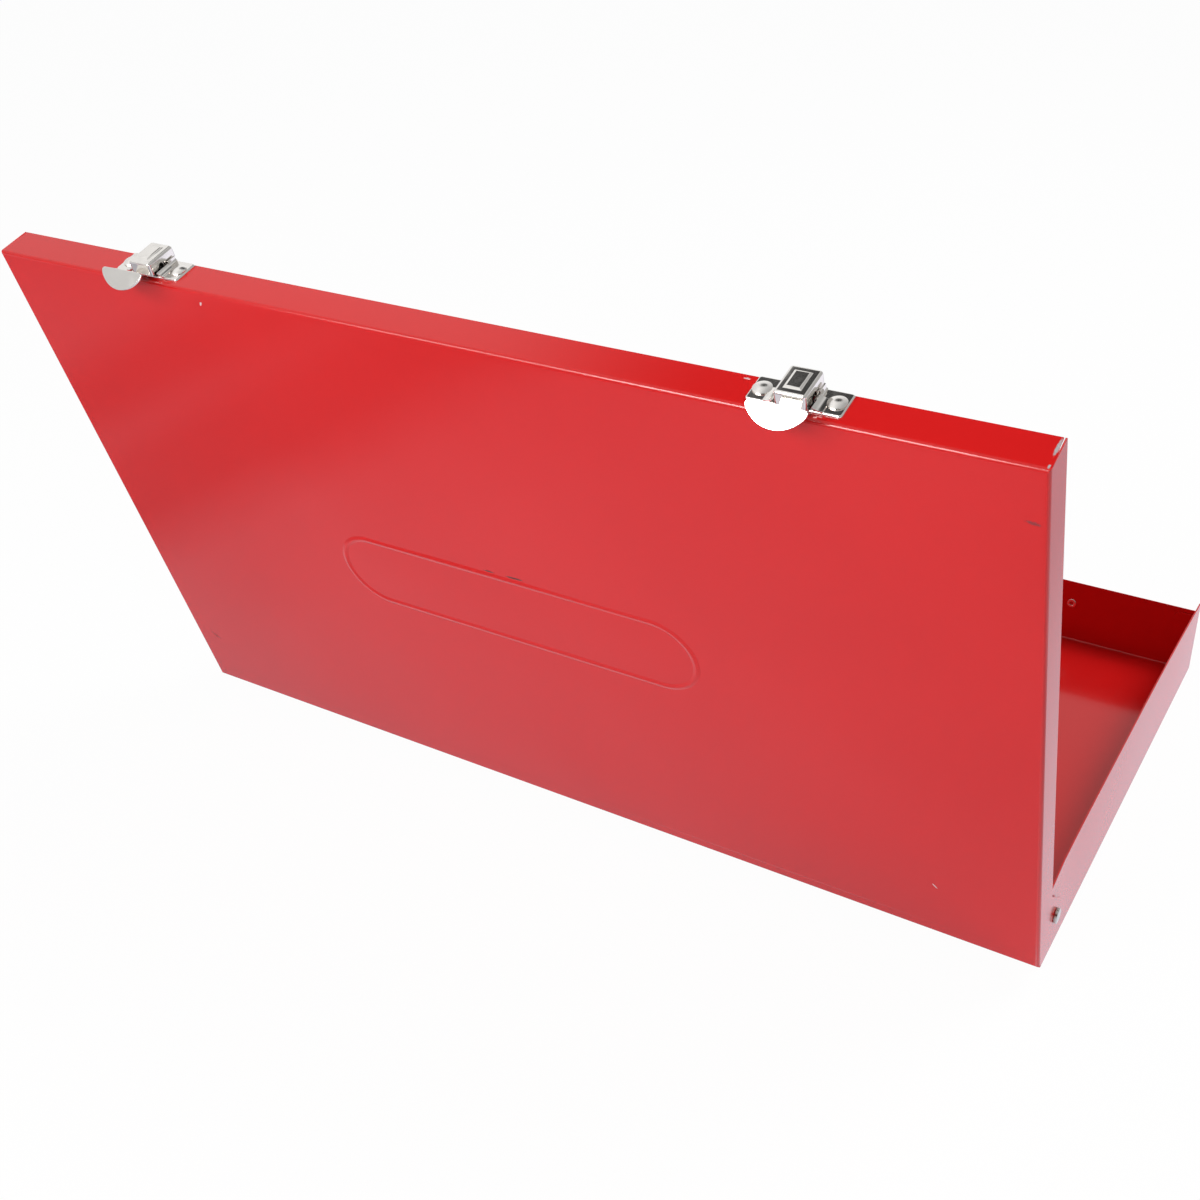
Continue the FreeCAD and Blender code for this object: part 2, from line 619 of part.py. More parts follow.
def make_claw(side, sign):
    """The rocking claw: a folded box with a lip at its foot, a neck and a half-moon thumb tab."""
    centre = latch_x * sign
    metal = size("claw_gauge")
    face = outward(size("claw_stand"))
    foot = above_rim(claw_foot)
    head = above_rim(claw_head)
    lip = outward(size("lip_reach"))
    heel = outward(size("claw_heel"))
    box = doc.addObject("PartDesign::Body", "claw_box_" + side)
    strip = sketch_on(box, "claw_strip_" + side, "YZ_Plane", centre)
    outline(strip, [
        (face, foot),
        (lip, foot),
        (lip, foot + metal),
        (face + metal, foot + metal),
        (face + metal, head - metal),
        (heel, head - metal),
        (heel, head),
        (face, head),
    ])
    pad(box, strip, size("claw_width"), symmetric=True)

    beside_pin = outward(size("claw_clear"))
    lifted = outward(size("claw_lift"))
    reach = size("pin_radius") + ease
    for place, end in SIDES.items():
        cheek_x = centre + (claw_half - metal / 2) * end
        cheek = sketch_on(box, "claw_cheek_%s_%s" % (side, place), "YZ_Plane", cheek_x)
        outline(cheek, [
            (face, foot),
            (lifted, foot),
            (lifted, rim),
            (beside_pin, pin_z - reach),
            (beside_pin, pin_z + reach),
            (heel, head),
            (face, head),
        ])
        pad(box, cheek, metal, symmetric=True)

    saddle = sketch_on(box, "claw_saddle_" + side, "YZ_Plane", centre)
    circle(saddle, pin_y, pin_z, reach)
    pocket(box, saddle, size("claw_width") + metal)
    mouth = sketch_on(box, "claw_mouth_" + side, "YZ_Plane", centre)
    rectangle(mouth, (pin_y, pin_z - reach), (lid_front, pin_z + reach))
    pocket(box, mouth, size("claw_width") + metal)

    neck = sketch_on(box, "claw_neck_" + side, "YZ_Plane", centre)
    run = size("neck_out")
    rise = size("neck_up")
    slope = Size(math.hypot(run.value, rise.value), "sqrt(%s ^ 2 + %s ^ 2)" % (run.text, rise.text))
    side_step = rise / slope * metal / 2
    up_step = run / slope * metal / 2
    neck_y = heel - metal / 2
    neck_z = head - metal / 10
    tab_y = neck_y - run
    tab_z = neck_z + rise
    outline(neck, [
        (neck_y - side_step, neck_z - up_step),
        (neck_y + side_step, neck_z + up_step),
        (tab_y + side_step, tab_z + up_step),
        (tab_y - side_step, tab_z - up_step),
    ])
    pad(box, neck, size("neck_width"), symmetric=True)

    frame = sketch_on(box, "claw_frame_" + side, "XZ_Plane", -face)
    margin = size("frame_margin")
    for inset in (margin, margin + size("frame_line")):
        low = (centre - claw_half + inset, foot + inset)
        high = (centre + claw_half - inset, head - inset)
        rectangle(frame, low, high)
    pad(box, frame, size("frame_height"))

    chord = size("thumb_half_width")
    drop = size("thumb_drop")
    radius = (chord * chord + drop * drop) / (drop * 2)
    disc = doc.addObject("Part::Cylinder", "thumb_disc_" + side)
    disc.setExpression("Radius", radius.text)
    disc.setExpression("Height", metal.text)
    disc.setExpression("Placement.Base.y", (drop - radius).text)
    half = doc.addObject("Part::Box", "thumb_half_" + side)
    half.setExpression("Length", (radius * 2).text)
    half.setExpression("Width", drop.text)
    half.setExpression("Height", metal.text)
    half.setExpression("Placement.Base.x", (-radius).text)
    moon = doc.addObject("Part::Common", "thumb_tab_" + side)
    moon.Base = disc
    moon.Tool = half
    tilt = size("thumb_tilt")
    moon.Placement = FreeCAD.Placement(
        FreeCAD.Vector(0, 0, 0), FreeCAD.Rotation(FreeCAD.Vector(1, 0, 0), tilt.value))
    moon.setExpression("Placement.Base.x", centre.text)
    moon.setExpression("Placement.Base.y", (tab_y + sine(tilt) * metal / 2).text)
    moon.setExpression("Placement.Base.z", (tab_z - cosine(tilt) * metal / 2).text)

    claw = doc.addObject("Part::Fuse", "latch_claw_" + side)
    claw.Base = box
    claw.Tool = moon
    claw.Label = "latch_claw_" + side
    claw.Placement = lid_swing
    nodes.append(claw)


# Keepers

def make_keeper(side, sign):
    keeper = new_body("keeper_" + side)
    centre = latch_x * sign
    half = size("keeper_length") / 2
    sheet_face = sketch_on(keeper, "keeper_sheet_" + side, "XZ_Plane", -(tray_front - plate_gauge / 2))
    rectangle(sheet_face, (centre - half, keeper_top - size("keeper_height")), (centre + half, keeper_top))
    pad(keeper, sheet_face, plate_gauge, symmetric=True)

    tongue = sketch_on(keeper, "keeper_tongue_" + side, "YZ_Plane", centre)
    back = outward(plate_gauge + size("tongue_gap"))
    tip = outward(size("lip_reach") - size("nose_clear"))
    front = tip + size("nose_catch")
    foot = rim - size("tongue_root") - plate_gauge
    nose = above_rim(claw_foot + size("claw_gauge") + size("nose_rise"))
    inside_plate = tray_front - plate_gauge / 2
    outline(tongue, [
        (front, foot),
        (inside_plate, foot),
        (inside_plate, foot + plate_gauge),
        (back, foot + plate_gauge),
        (back, nose + plate_gauge),
        (tip, nose + plate_gauge),
        (tip, nose),
        (front, nose),
    ])
    pad(keeper, tongue, size("tongue_width"), symmetric=True)

    holes = sketch_on(keeper, "keeper_holes_" + side, "XZ_Plane", -(tray_front - plate_gauge / 2))
    for end in SIDES.values():
        circle(holes, centre + size("keeper_pitch") / 2 * end, keeper_rivet_z, size("rivet_shank") + ease)
    pocket(keeper, holes, plate_gauge * 2)


make_tray()
make_lid()
standing = FreeCAD.Placement()
for side_name, side_sign in SIDES.items():
    make_tray_end(side_name, side_sign)
    make_hinge(side_name, side_sign)
    make_latch_plate(side_name, side_sign)
    make_latch_pin(side_name, side_sign)
    make_latch_spring(side_name, side_sign)
    make_claw(side_name, side_sign)
    make_small_rivets("latch", side_name, side_sign, "rivet_pitch", plate_face, plate_rivet_z, lid_swing)
    make_keeper(side_name, side_sign)
    make_small_rivets("keeper", side_name, side_sign, "keeper_pitch", keeper_face, keeper_rivet_z, standing)

# Check every object, then write one file for each piece

doc.recompute()
for item in doc.Objects:
    if "Invalid" in item.State or "Error" in item.State:
        raise RuntimeError("%s failed: %s" % (item.Name, item.State))
os.makedirs("parts", exist_ok=True)
for node in nodes:
    if node.Shape.isNull() or not node.Shape.isValid():
        raise RuntimeError("%s has no valid shape" % node.Label)
    box = node.Shape.BoundBox
    print("%-26s %d solid %9.1f mm3  x %7.1f %7.1f  y %7.1f %7.1f  z %6.1f %6.1f" % (
        node.Label, len(node.Shape.Solids), node.Shape.Volume,
        box.XMin, box.XMax, box.YMin, box.YMax, box.ZMin, box.ZMax))
for node in nodes:
    node.Shape.exportStep("parts/%s.step" % node.Label)
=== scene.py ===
# %% [markdown]
# This lesson dresses a shallow steel tool case: a red painted tray, a red painted lid that is thrown
# back, and two bright snap latches on the lid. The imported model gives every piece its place, in metres,
# so each new piece is modelled where it belongs and only its looks are added: soft folds, pressed beads,
# paint and plating.

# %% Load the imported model
import json
import math

import bmesh
import bpy
from mathutils import Matrix, Vector

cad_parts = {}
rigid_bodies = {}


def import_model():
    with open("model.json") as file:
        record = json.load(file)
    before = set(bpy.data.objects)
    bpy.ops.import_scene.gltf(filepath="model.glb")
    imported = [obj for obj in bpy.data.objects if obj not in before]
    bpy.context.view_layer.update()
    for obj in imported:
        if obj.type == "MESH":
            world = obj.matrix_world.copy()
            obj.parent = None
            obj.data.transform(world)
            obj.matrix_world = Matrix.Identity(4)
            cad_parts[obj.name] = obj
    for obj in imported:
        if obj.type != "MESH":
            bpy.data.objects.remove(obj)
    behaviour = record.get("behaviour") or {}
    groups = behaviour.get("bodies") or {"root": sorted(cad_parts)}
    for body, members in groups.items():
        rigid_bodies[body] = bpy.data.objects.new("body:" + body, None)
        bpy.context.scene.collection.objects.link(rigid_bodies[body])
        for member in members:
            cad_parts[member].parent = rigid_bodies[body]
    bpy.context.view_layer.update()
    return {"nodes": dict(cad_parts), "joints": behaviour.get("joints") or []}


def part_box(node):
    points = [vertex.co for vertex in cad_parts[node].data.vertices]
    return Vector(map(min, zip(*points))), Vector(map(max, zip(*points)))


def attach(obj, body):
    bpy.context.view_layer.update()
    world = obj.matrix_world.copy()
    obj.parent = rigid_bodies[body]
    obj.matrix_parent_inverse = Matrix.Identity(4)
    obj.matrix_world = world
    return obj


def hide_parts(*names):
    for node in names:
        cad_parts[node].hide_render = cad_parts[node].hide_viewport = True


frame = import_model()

MM = 0.001
nodes = frame["nodes"]
joints = {joint["name"]: joint for joint in frame["joints"]}
print("nodes:", len(nodes), "joints:", sorted(joints))

# %% [markdown]
# Everything on the lid is easier to model with the lid shut, when its walls lie along the axes. The hinge
# joint says where the lid turns and how far, so one matrix shuts what the model holds open. A node's
# corners, measured after that turn, give the sizes of the shut lid.

# %% Shut and open
hinge = joints["lid_hinge"]
HINGE_POINT = Vector(hinge["pos_m"])
SHUT_ANGLE = math.radians(hinge["range_deg"][1])
about_hinge = Matrix.Translation(HINGE_POINT)
SHUT = about_hinge @ Matrix.Rotation(SHUT_ANGLE, 4, "X") @ about_hinge.inverted()


def box_of(points):
    """Lowest and highest corners of some points."""
    low = Vector(min(point[axis] for point in points) for axis in range(3))
    high = Vector(max(point[axis] for point in points) for axis in range(3))
    return low, high


def shut_box(node):
    """Lowest and highest corners of a node with the lid shut."""
    return box_of([SHUT @ vertex.co for vertex in nodes[node].data.vertices])


lid_low, lid_high = shut_box("lid_shell")
print("shut lid, mm:", [round(edge / MM, 2) for edge in (*lid_low, *lid_high)])

# %% [markdown]
# The camera stands behind the open lid, to one side of it and above it. Its place, turn and lens were
# worked out from the corners and edges of the lid and the tray in the photograph. A small shift puts the
# optical centre where those corners and edges have it, a little off the middle of the frame.

# %% Camera
CAMERA_PLACE = Vector((-388.2, 746.2, 542.3)) * MM
CAMERA_TURN = [math.radians(angle) for angle in (62.134, 0.937, -149.026)]
FOCAL_LENGTH_PIXELS = 1530.5
OPTICAL_CENTRE = (617.8, 543.4)
FRAME_PIXELS = 1200
SENSOR_WIDTH = 36.0
CLIP_START = 0.01

camera_data = bpy.data.cameras.new("camera")
camera_data.sensor_width = SENSOR_WIDTH
camera_data.lens = SENSOR_WIDTH * FOCAL_LENGTH_PIXELS / FRAME_PIXELS
camera_data.shift_x = (FRAME_PIXELS / 2 - OPTICAL_CENTRE[0]) / FRAME_PIXELS
camera_data.shift_y = (OPTICAL_CENTRE[1] - FRAME_PIXELS / 2) / FRAME_PIXELS
camera_data.clip_start = CLIP_START
camera = bpy.data.objects.new("camera", camera_data)
camera.location = CAMERA_PLACE
camera.rotation_euler = CAMERA_TURN
bpy.context.scene.collection.objects.link(camera)
bpy.context.scene.camera = camera
bpy.context.scene.view_settings.view_transform = "Standard"
print("lens, mm:", round(camera_data.lens, 2))

# %% [markdown]
# A finish is a tree of shader nodes. Written as Python sums, such a tree stays readable: a Signal stands
# for one socket, and adding or multiplying signals adds the Math nodes that do it. A Finish holds the
# tree of one material or of the sky, and its node method adds any other node: its settings first, then
# its sockets.

# %% Signals and finishes
class Signal:
    """One output socket of a node tree, which can be used in sums."""

    def __init__(self, tree, socket):
        self.tree = tree
        self.socket = socket

    def sum(self, operation, first, second):
        """Add a Math node that works out first, operation, second."""
        node = self.tree.nodes.new("ShaderNodeMath")
        node.operation = operation
        connect(self.tree, node.inputs[0], first)
        connect(self.tree, node.inputs[1], second)
        return Signal(self.tree, node.outputs[0])

    def __add__(self, other):
        return self.sum("ADD", self, other)

    def __radd__(self, other):
        return self.sum("ADD", other, self)

    def __sub__(self, other):
        return self.sum("SUBTRACT", self, other)

    def __rsub__(self, other):
        return self.sum("SUBTRACT", other, self)

    def __mul__(self, other):
        return self.sum("MULTIPLY", self, other)

    def __truediv__(self, other):
        return self.sum("DIVIDE", self, other)

    def most(self, other):
        return self.sum("MAXIMUM", self, other)


def connect(tree, socket, value):
    """Link a signal to a socket, or set the socket to a plain value."""
    if isinstance(value, Signal):
        tree.links.new(value.socket, socket)
    elif hasattr(socket.default_value, "__len__") and len(socket.default_value) == 4 and len(value) == 3:
        socket.default_value = (*value, 1.0)
    else:
        socket.default_value = value


class Finish:
    """The node tree of a material or of the sky."""

    def __init__(self, owner):
        owner.use_nodes = True
        self.owner = owner
        self.tree = owner.node_tree
        self.shader = self.tree.nodes.get("Principled BSDF")

    def node(self, kind, settings=None, sockets=None, output=0):
        """Add a node, set it, connect its sockets and give one of its outputs."""
        node = self.tree.nodes.new(kind)
        for setting, value in (settings or {}).items():
            if setting == "stops":
                set_stops(node.color_ramp, value)
            else:
                setattr(node, setting, value)
        for name, value in (sockets or {}).items():
            connect(self.tree, node.inputs[name], value)
        return Signal(self.tree, node.outputs[output])

    def place(self):
        """Object coordinates: the place of a point in the frame, in metres."""
        return self.node("ShaderNodeTexCoord", output="Object")

    def noise(self, where, scale, detail, roughness):
        """Cloudy noise between 0 and 1."""
        sockets = {"Vector": where, "Scale": scale, "Detail": detail, "Roughness": roughness}
        return self.node("ShaderNodeTexNoise", sockets=sockets)

    def between(self, value, low, high, first=0.0, last=1.0):
        """Move smoothly from first to last while value goes from low to high."""
        sockets = {"Value": value, "From Min": low, "From Max": high, "To Min": first, "To Max": last}
        return self.node("ShaderNodeMapRange", {"interpolation_type": "SMOOTHSTEP"}, sockets)

    def blend(self, amount, first, last):
        """Mix two colours."""
        settings = {"data_type": "RGBA"}
        return self.node("ShaderNodeMix", settings, {0: amount, 6: first, 7: last}, output=2)

    def axes(self, where):
        """The three coordinates of a place."""
        return [self.node("ShaderNodeSeparateXYZ", sockets={0: where}, output=axis) for axis in range(3)]

    def bump(self, height, strength, distance):
        """A normal that follows a height."""
        sockets = {"Height": height, "Strength": strength, "Distance": distance}
        return self.node("ShaderNodeBump", sockets=sockets)

    def set(self, **sockets):
        """Connect sockets of the Principled shader, with _ for a space in their names."""
        for name, value in sockets.items():
            connect(self.tree, self.shader.inputs[name.replace("_", " ")], value)


def set_stops(ramp, stops):
    """Give a colour ramp its stops, as pairs of place and grey."""
    while len(ramp.elements) < len(stops):
        ramp.elements.new(1.0)
    for element, (place, grey) in zip(ramp.elements, stops):
        element.position = place
        element.color = (grey, grey, grey, 1.0)


print("signals ready")

# %% [markdown]
# The photograph was taken in a white studio. The floor and the sky glow white for the camera, and the
# floor keeps a faint shadow because part of it is plain matt white. Glossy paint and polished metal also
# mirror what stands around the case. In reflections the floor is cool white, with two soft dark bands to
# the left and a dim strip to the right. The sky has a dark opening high up beyond the case, a dark spot
# where the camera stands, and is less bright to the right and low on the left.

# %% Floor and sky
FLOOR_SIZE = 30.0
FLOOR_DROP = 0.5 * MM
FLOOR_GLOW = 0.97
FLOOR_WHITE = (0.9, 0.9, 0.9)
FLOOR_REACH = 2.4
LEFT_TONES = [
    (0.45, 0.75), (0.58, 0.66), (0.67, 0.31), (0.74, 0.31), (0.79, 0.42), (0.84, 0.28),
    (0.88, 0.28), (0.96, 0.48), (1.06, 0.46), (1.20, 0.38), (1.60, 0.53), (2.10, 0.71),
]
RIGHT_STOPS = [
    (0.257, 0.0), (0.266, 1.0), (0.29, 0.97), (0.334, 0.90), (0.405, 0.64), (0.44, 0.64), (0.50, 1.0),
]
DIM_RIGHT = 0.84
DIM_RIGHT_EDGES = (-0.25, -0.05)
WHITE = (1.0, 1.0, 1.0)
COOL_WHITE = (1.0, 0.985, 1.09)
BLACK = (0.0, 0.0, 0.0)
SKY_LIGHT = 0.22
SKY_STOPS = [(0.30, 0.45), (0.72, 1.0), (0.80, 1.0), (0.90, 0.85)]
DARK_WAY = (0.25, -0.45, 0.86)
DARK_OPENING = 0.06
OPENING_EDGES = (0.94, 0.988)
CAMERA_WAY = (-0.15, 0.75, 0.64)
DARK_CAMERA = 0.055
CAMERA_EDGES = (0.94, 0.97)
DIM_LEFT = 0.7
DIM_LEFT_EDGES = (1.2, 1.32)


def rays(finish, *kinds):
    """1 for rays of any of the kinds, and 0 for all others."""
    chosen = [finish.node("ShaderNodeLightPath", output="Is " + kind + " Ray") for kind in kinds]
    total = chosen[0]
    for other in chosen[1:]:
        total = total.most(other)
    return total


bpy.ops.object.select_all(action="DESELECT")
bpy.ops.mesh.primitive_plane_add(size=FLOOR_SIZE, location=(0, 0, -FLOOR_DROP))
floor = bpy.context.active_object
floor.name = "floor"
floor_finish = Finish(bpy.data.materials.new("studio_floor"))
floor_finish.set(Base_Color=FLOOR_WHITE, Roughness=1.0, Specular_IOR_Level=0.0)
floor_across, floor_along = floor_finish.axes(floor_finish.place())[:2]
left_stops = [(away / FLOOR_REACH, tone) for away, tone in LEFT_TONES]
left_share = (floor_across + floor_along) / FLOOR_REACH
to_the_left = floor_finish.node("ShaderNodeValToRGB", {"stops": left_stops}, {0: left_share})
to_the_right = floor_finish.between(floor_across, *DIM_RIGHT_EDGES, DIM_RIGHT, 1.0)
beyond_lid = floor_finish.node("ShaderNodeValToRGB", {"stops": RIGHT_STOPS}, {0: 0 - floor_across})
tone = (to_the_left * to_the_right).most(beyond_lid)
mirrored_floor = floor_finish.blend(tone, BLACK, COOL_WHITE)
glow_colour = floor_finish.blend(rays(floor_finish, "Glossy"), WHITE, mirrored_floor)
glow = floor_finish.node("ShaderNodeEmission", sockets={"Color": glow_colour, "Strength": 1.0})
matt = Signal(floor_finish.tree, floor_finish.shader.outputs[0])
glow_share = rays(floor_finish, "Camera", "Glossy", "Transmission") * FLOOR_GLOW
floor_mix = floor_finish.node("ShaderNodeMixShader", sockets={0: glow_share, 1: matt, 2: glow})
floor_output = floor_finish.tree.nodes["Material Output"]
floor_finish.tree.links.new(floor_mix.socket, floor_output.inputs["Surface"])
floor.data.materials.append(floor_finish.owner)

world = bpy.data.worlds.new("studio")
bpy.context.scene.world = world
sky = Finish(world)
direction = sky.node("ShaderNodeTexCoord", output="Generated")
across, along = sky.axes(direction)[:2]
from_right_to_left = sky.node("ShaderNodeValToRGB", {"stops": SKY_STOPS}, {0: across * 0.5 + 0.5})
dot_product = {"operation": "DOT_PRODUCT"}
towards_dark = sky.node("ShaderNodeVectorMath", dot_product, {0: direction, 1: DARK_WAY}, output="Value")
opening = sky.between(towards_dark, *OPENING_EDGES, 1.0, DARK_OPENING)
low_left = sky.between(across + along, *DIM_LEFT_EDGES, 1.0, DIM_LEFT)
towards_camera = sky.node("ShaderNodeVectorMath", dot_product, {0: direction, 1: CAMERA_WAY}, output="Value")
camera_spot = sky.between(towards_camera, *CAMERA_EDGES, 1.0, DARK_CAMERA)
picture = from_right_to_left * opening * camera_spot * low_left
mirrored = rays(sky, "Glossy", "Transmission")
straight = rays(sky, "Camera")
lighting = 1 - mirrored.most(straight)
background = sky.tree.nodes["Background"]
connect(sky.tree, background.inputs["Color"], WHITE)
connect(sky.tree, background.inputs["Strength"], straight + mirrored * picture + lighting * SKY_LIGHT)
print("floor and sky")

# %% [markdown]
# Soft boxes add shape to the even light of the sky. The largest hangs high beyond the case and lights the
# tray and all that faces up. A wide one behind the camera and to its left lights the front fold, a small
# one beside the camera lights the middle of the panel, and one that only gloss mirrors draws the bright
# line along the fold.

# %% Soft boxes
LAMPS = [
    ("top_box", (-0.9, -0.7, 1.7), (0.0, 0.0, 0.1), (1.0, 1.0), 25.0, "lights"),
    ("wide_box", (0.45, 1.25, 0.84), (0.0, 0.25, 0.25), (0.9, 0.5), 7.5, "both"),
    ("front_box", (-0.1, 1.0, 0.6), (0.0, 0.2, 0.2), (0.5, 0.3), 2.3, "lights"),
    ("line_box", (0.28, 1.25, 0.80), (-0.2, 0.26, 0.33), (0.45, 0.6), 8.5, "mirrored"),
]


def add_lamp(name, place, target, size, watts, part):
    """A soft box at a place, turned to a target, that lights matt surfaces, is mirrored in gloss, or both."""
    lamp_data = bpy.data.lights.new(name, "AREA")
    lamp_data.shape = "RECTANGLE"
    lamp_data.size, lamp_data.size_y = size
    lamp_data.energy = watts
    lamp = bpy.data.objects.new(name, lamp_data)
    lamp.location = place
    lamp.visible_glossy = part != "lights"
    lamp.visible_diffuse = part != "mirrored"
    lamp.rotation_euler = (Vector(target) - Vector(place)).to_track_quat("-Z", "Y").to_euler()
    bpy.context.scene.collection.objects.link(lamp)


for lamp in LAMPS:
    add_lamp(*lamp)
print("soft boxes:", len(LAMPS))

# %% [markdown]
# Pieces are modelled as by hand. A primitive is added at its place, opened in edit mode, and shaped: the
# parts to work on are picked by where they are and which way they face. These helpers start a piece,
# pick, apply a modifier, and at the end hand the piece to its body and hide the nodes that it stands
# for.

# %% Modelling helpers
SAME_PLACE = 0.02 * MM
DOUBLE_POINTS = 0.001 * MM
SHARP_ANGLE = 50
CUT_EDGE = 0.12


def select_only(piece):
    """Make a piece the only selected one."""
    bpy.ops.object.select_all(action="DESELECT")
    piece.select_set(True)
    bpy.context.view_layer.objects.active = piece


def start(name, primitive, place, spread=(1, 1, 1), **settings):
    """Add a primitive at a place, spread it, name it and leave it open in edit mode with nothing selected."""
    bpy.ops.object.select_all(action="DESELECT")
    primitive(location=place, **settings)
    piece = bpy.context.active_object
    piece.name = name
    piece.data.name = name
    bpy.ops.object.transform_apply(location=True, rotation=True, scale=True)
    bpy.ops.object.mode_set(mode="EDIT")
    bpy.ops.mesh.select_all(action="SELECT")
    bpy.ops.transform.resize(value=spread, center_override=place)
    bpy.ops.mesh.select_all(action="DESELECT")
    return piece


def middle_and_way(part):
    """The middle of a point, edge or face, and the way it faces or runs."""
    if isinstance(part, bmesh.types.BMVert):
        return part.co, part.normal
    if isinstance(part, bmesh.types.BMEdge):
        first, last = (vertex.co for vertex in part.verts)
        return (first + last) / 2, (last - first).normalized()
    return part.calc_center_median(), part.normal


def pick(kind, wanted):
    """Select the points, edges or faces of the open mesh that pass a test of middle and way."""
    bpy.ops.mesh.select_mode(type={"points": "VERT", "edges": "EDGE", "faces": "FACE"}[kind])
    bpy.ops.mesh.select_all(action="DESELECT")
    mesh = bmesh.from_edit_mesh(bpy.context.active_object.data)
    parts = {"points": mesh.verts, "edges": mesh.edges, "faces": mesh.faces}[kind]
    for part in parts:
        if wanted(*middle_and_way(part)):
            part.select_set(True)
    mesh.select_flush_mode()
    bmesh.update_edit_mesh(bpy.context.active_object.data)


def everything(middle, way):
    """A test that picks all of the open mesh."""
    return True


def near(first, second, slack=SAME_PLACE):
    """Whether two measures are the same, within a slack."""
    return abs(first - second) < slack


def extrude(way):
    """Extrude what is selected by a vector."""
    bpy.ops.mesh.extrude_region_move(TRANSFORM_OT_translate={"value": way})


def draw_path(name, places):
    """Draw a line of edges from place to place, and leave all of it selected in edit mode."""
    piece = start(name, bpy.ops.mesh.primitive_plane_add, places[0], size=MM)
    bpy.ops.mesh.select_all(action="SELECT")
    bpy.ops.mesh.merge(type="CENTER")
    for first, last in zip(places, places[1:]):
        bpy.ops.mesh.extrude_vertices_move(TRANSFORM_OT_translate={"value": last - first})
    bpy.ops.mesh.select_all(action="SELECT")
    return piece


def close_mesh(outward=True):
    """Merge doubles, turn the normals outwards and leave edit mode."""
    bpy.ops.mesh.select_mode(type="VERT")
    bpy.ops.mesh.select_all(action="SELECT")
    bpy.ops.mesh.remove_doubles(threshold=DOUBLE_POINTS)
    if outward:
        bpy.ops.mesh.normals_make_consistent(inside=False)
    bpy.ops.object.mode_set(mode="OBJECT")


def modify(piece, kind, **settings):
    """Add a modifier to a piece, set it and apply it."""
    select_only(piece)
    modifier = piece.modifiers.new(kind.lower(), kind)
    for setting, value in settings.items():
        setattr(modifier, setting, value)
    bpy.ops.object.modifier_apply(modifier=modifier.name)


def ease_edges(piece, width, segments=2):
    """Bevel the sharp edges of a piece by a width in mm."""
    modify(piece, "BEVEL", width=width * MM, segments=segments, limit_method="ANGLE",
           angle_limit=math.radians(SHARP_ANGLE))


def smooth(piece, angle=32):
    """Shade folds smoothly, and keep sharp edges sharp and large faces flat."""
    select_only(piece)
    bpy.ops.object.shade_smooth_by_angle(angle=math.radians(angle))
    modify(piece, "WEIGHTED_NORMAL", mode="FACE_AREA", weight=100, keep_sharp=True)


def copy(piece, name, way):
    """Copy a piece with its own mesh, and move the copy."""
    select_only(piece)
    bpy.ops.object.duplicate(linked=False)
    twin = bpy.context.active_object
    twin.name = name
    twin.data.name = name
    bpy.ops.transform.translate(value=way)
    bpy.ops.object.transform_apply(location=True, rotation=True, scale=True)
    return twin


def join(piece, *others):
    """Join other meshes into a piece."""
    select_only(piece)
    for other in others:
        other.select_set(True)
    bpy.ops.object.join()


def swing_open(piece):
    """Turn a piece that was modelled on the shut lid to the open lid of the frame."""
    select_only(piece)
    bpy.ops.transform.rotate(value=SHUT_ANGLE, orient_axis="X", center_override=HINGE_POINT)
    bpy.ops.object.transform_apply(location=True, rotation=True, scale=True)


def dress(piece, finish, body, slot, *stands_for):
    """Give a piece its finish and body, and hide the nodes that it stands for; the slot is not used."""
    piece.data.materials.clear()
    piece.data.materials.append(finish)
    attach(piece, body)
    if stands_for:
        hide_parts(*stands_for)
    low, high = box_of([vertex.co for vertex in piece.data.vertices])
    print(piece.name, "on", body, "mm:", [round(edge / MM, 1) for edge in (*low, *high)])


print("helpers ready")

# %% [markdown]
# The paint is a glossy red enamel on steel. A plain red shader would look like plastic: real enamel has a
# skin of fine orange peel, and a haze of dust and handling that changes its gloss. All patterns read
# Object coordinates, so they stay on the metal from every side. A used lid also has marks: scuffs, a
# little dirt beside the pressed line and chips. A dent is a darker red spot of painted shade, and the
# front corner seam has pale grey that is partly bare steel and partly a painted glint. Each mark is a
# small soft ellipse in the plane of the sheet.

# %% Red enamel
ENAMEL_RED = (0.67, 0.011, 0.011)
ENAMEL_DEEP = (0.62, 0.009, 0.009)
# Pale grey for the front corner seam: partly bare steel, partly a painted glint.
BARE_STEEL_AND_GLINT = (0.44, 0.40, 0.41)
PALE_CHIP = (0.72, 0.52, 0.53)
DULL_SCUFF = (0.30, 0.025, 0.03)
# A darker red for the dent mark: painted shade.
DENT_SHADE_RED = (0.40, 0.004, 0.004)
DIRT = (0.10, 0.02, 0.015)
MARK_DEPTH = 0.75
RAGGED_SCALE = 900.0
CLOUD_SCALE = 7.0
SPECK_SCALE = 420.0
PEEL_SCALE = 900.0
RIPPLE_SCALE = 90.0
ENAMEL_ROUGHNESS = 0.11
WORN_ROUGHNESS = 0.3
ENAMEL_SHINE = 0.42
PANEL_LEVEL = lid_high.z / MM - 0.4
FRONT_LEVEL = lid_low.y / MM

